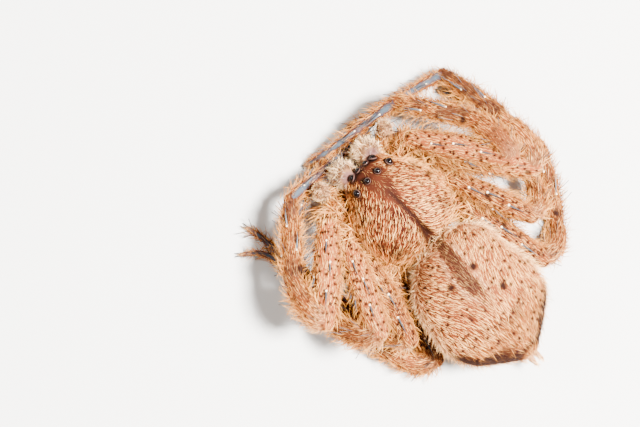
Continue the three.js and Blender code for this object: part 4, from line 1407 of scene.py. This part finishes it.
spine_limbs, socket_limbs = leg_spines()
socket_skin = plain_material("pale_skin_of_the_spine_sockets")
bristle_horn = plain_material("dark_horn_of_the_bristles")
claw_horn = plain_material("dark_horn_of_the_claws")
fang_horn = plain_material("polished_horn_of_the_fangs")
rim_skin = plain_material("bare_skin_round_the_eyes")
small_pieces = {
    "bare_skin": [
        joined_limbs("leg_spines", spine_limbs, spine_material()),
        joined_limbs("spine_sockets", socket_limbs, socket_skin),
    ],
    "fang": [
        joined_limbs("dark_bristles", dark_bristles(), bristle_horn, rings=4, sides=5),
        joined_limbs("foot_claws", claws(), claw_horn, rings=5, sides=6),
    ],
}
smooth_fangs = joined_limbs("smooth_fangs", fangs(), fang_horn, rings=12, sides=12)
lenses, rims = make_eyes(eye_material(), rim_skin)

flesh_nodes = sorted(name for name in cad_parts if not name.startswith(("eye_", "fang_")))
deliver(skin, "coat", *flesh_nodes)
for piece in coat_pieces:
    deliver(piece, "cream_coat" if piece.name in ("coat_face", "coat_tail") else "coat")
for slot, pieces in small_pieces.items():
    for piece in pieces:
        deliver(piece, slot)
deliver(smooth_fangs, "fang", "fang_l", "fang_r")
deliver(rims, "bare_skin")
for lens, node in lenses:
    deliver(lens, "eye", node)


# Floor, light and camera

def model_place(x, y, z):
    """A place in the spider's millimetres as a place in the model's metres."""
    return (Vector((x, y, z)) + SHIFT) * MM


FLOOR_REACH = 0.6  # metres from the middle of the floor to its edges


def make_floor():
    """Matt pale card under the spider."""
    corners = [(x * FLOOR_REACH, y * FLOOR_REACH, 0) for x, y in ((-1, -1), (1, -1), (1, 1), (-1, 1))]
    floor = mesh_object("floor", corners, [(0, 1, 2, 3)])
    material, tree = new_material("matt_pale_card")
    give_surface(tree, {"Base Color": srgb("#cdcac4"), "Roughness": 0.9})
    floor.data.materials.append(material)


# Soft boxes: where each stands in the model's metres, its side in metres and its power in watts.
LIGHTS = {
    "key": ((-0.09, 0.1, 0.28), 0.07, 13.3),
    "fill": ((0.12, -0.18, 0.2), 0.1, 0.75),
    "back": ((0.05, 0.24, 0.2), 0.16, 0.4),
}
SKY_COLOUR = (1.0, 0.985, 0.96, 1.0)
SKY_STRENGTH = 0.13


def make_lights():
    """Soft boxes that look at the spider, in a dim warm room."""
    for name, (place, side, watts) in LIGHTS.items():
        data = bpy.data.lights.new(name, "AREA")
        data.size = side
        data.energy = watts
        lamp = linked(name, data)
        lamp.location = place
        lamp.rotation_euler = (-Vector(place)).to_track_quat("-Z", "Y").to_euler()
    world = bpy.data.worlds.new("soft_studio")
    world.use_nodes = True
    background = world.node_tree.nodes["Background"]
    background.inputs["Color"].default_value = SKY_COLOUR
    background.inputs["Strength"].default_value = SKY_STRENGTH
    bpy.context.scene.world = world


CAMERA_TILT = 6.0  # degrees from straight above, toward the spider's left
CAMERA_TURN = 45.0  # degrees that the spider lies turned in the picture
CAMERA_TARGET = (5.42, -4.63, 6.2)  # the middle of the picture, in the spider's millimetres
CAMERA_DISTANCE = 0.246  # metres
CAMERA_LENS, CAMERA_SENSOR = 166.0, 36.0  # millimetres
CAMERA_NEAR, CAMERA_FAR = 0.01, 5  # metres between which it sees


def make_camera():
    """The camera of the photograph, nearly straight above."""
    data = bpy.data.cameras.new("camera")
    data.lens = CAMERA_LENS
    data.sensor_width = CAMERA_SENSOR
    data.clip_start = CAMERA_NEAR
    data.clip_end = CAMERA_FAR
    camera = linked("camera", data)
    tilt, turn = math.radians(CAMERA_TILT), math.radians(CAMERA_TURN)
    back = Vector((math.sin(tilt), 0, math.cos(tilt)))
    right = Vector((-math.cos(tilt) * math.cos(turn), math.sin(turn), math.sin(tilt) * math.cos(turn)))
    turned = Matrix((right, back.cross(right), back)).transposed().to_4x4()
    camera.matrix_world = Matrix.Translation(model_place(*CAMERA_TARGET) + back * CAMERA_DISTANCE) @ turned
    bpy.context.scene.camera = camera


make_floor()
make_lights()
make_camera()
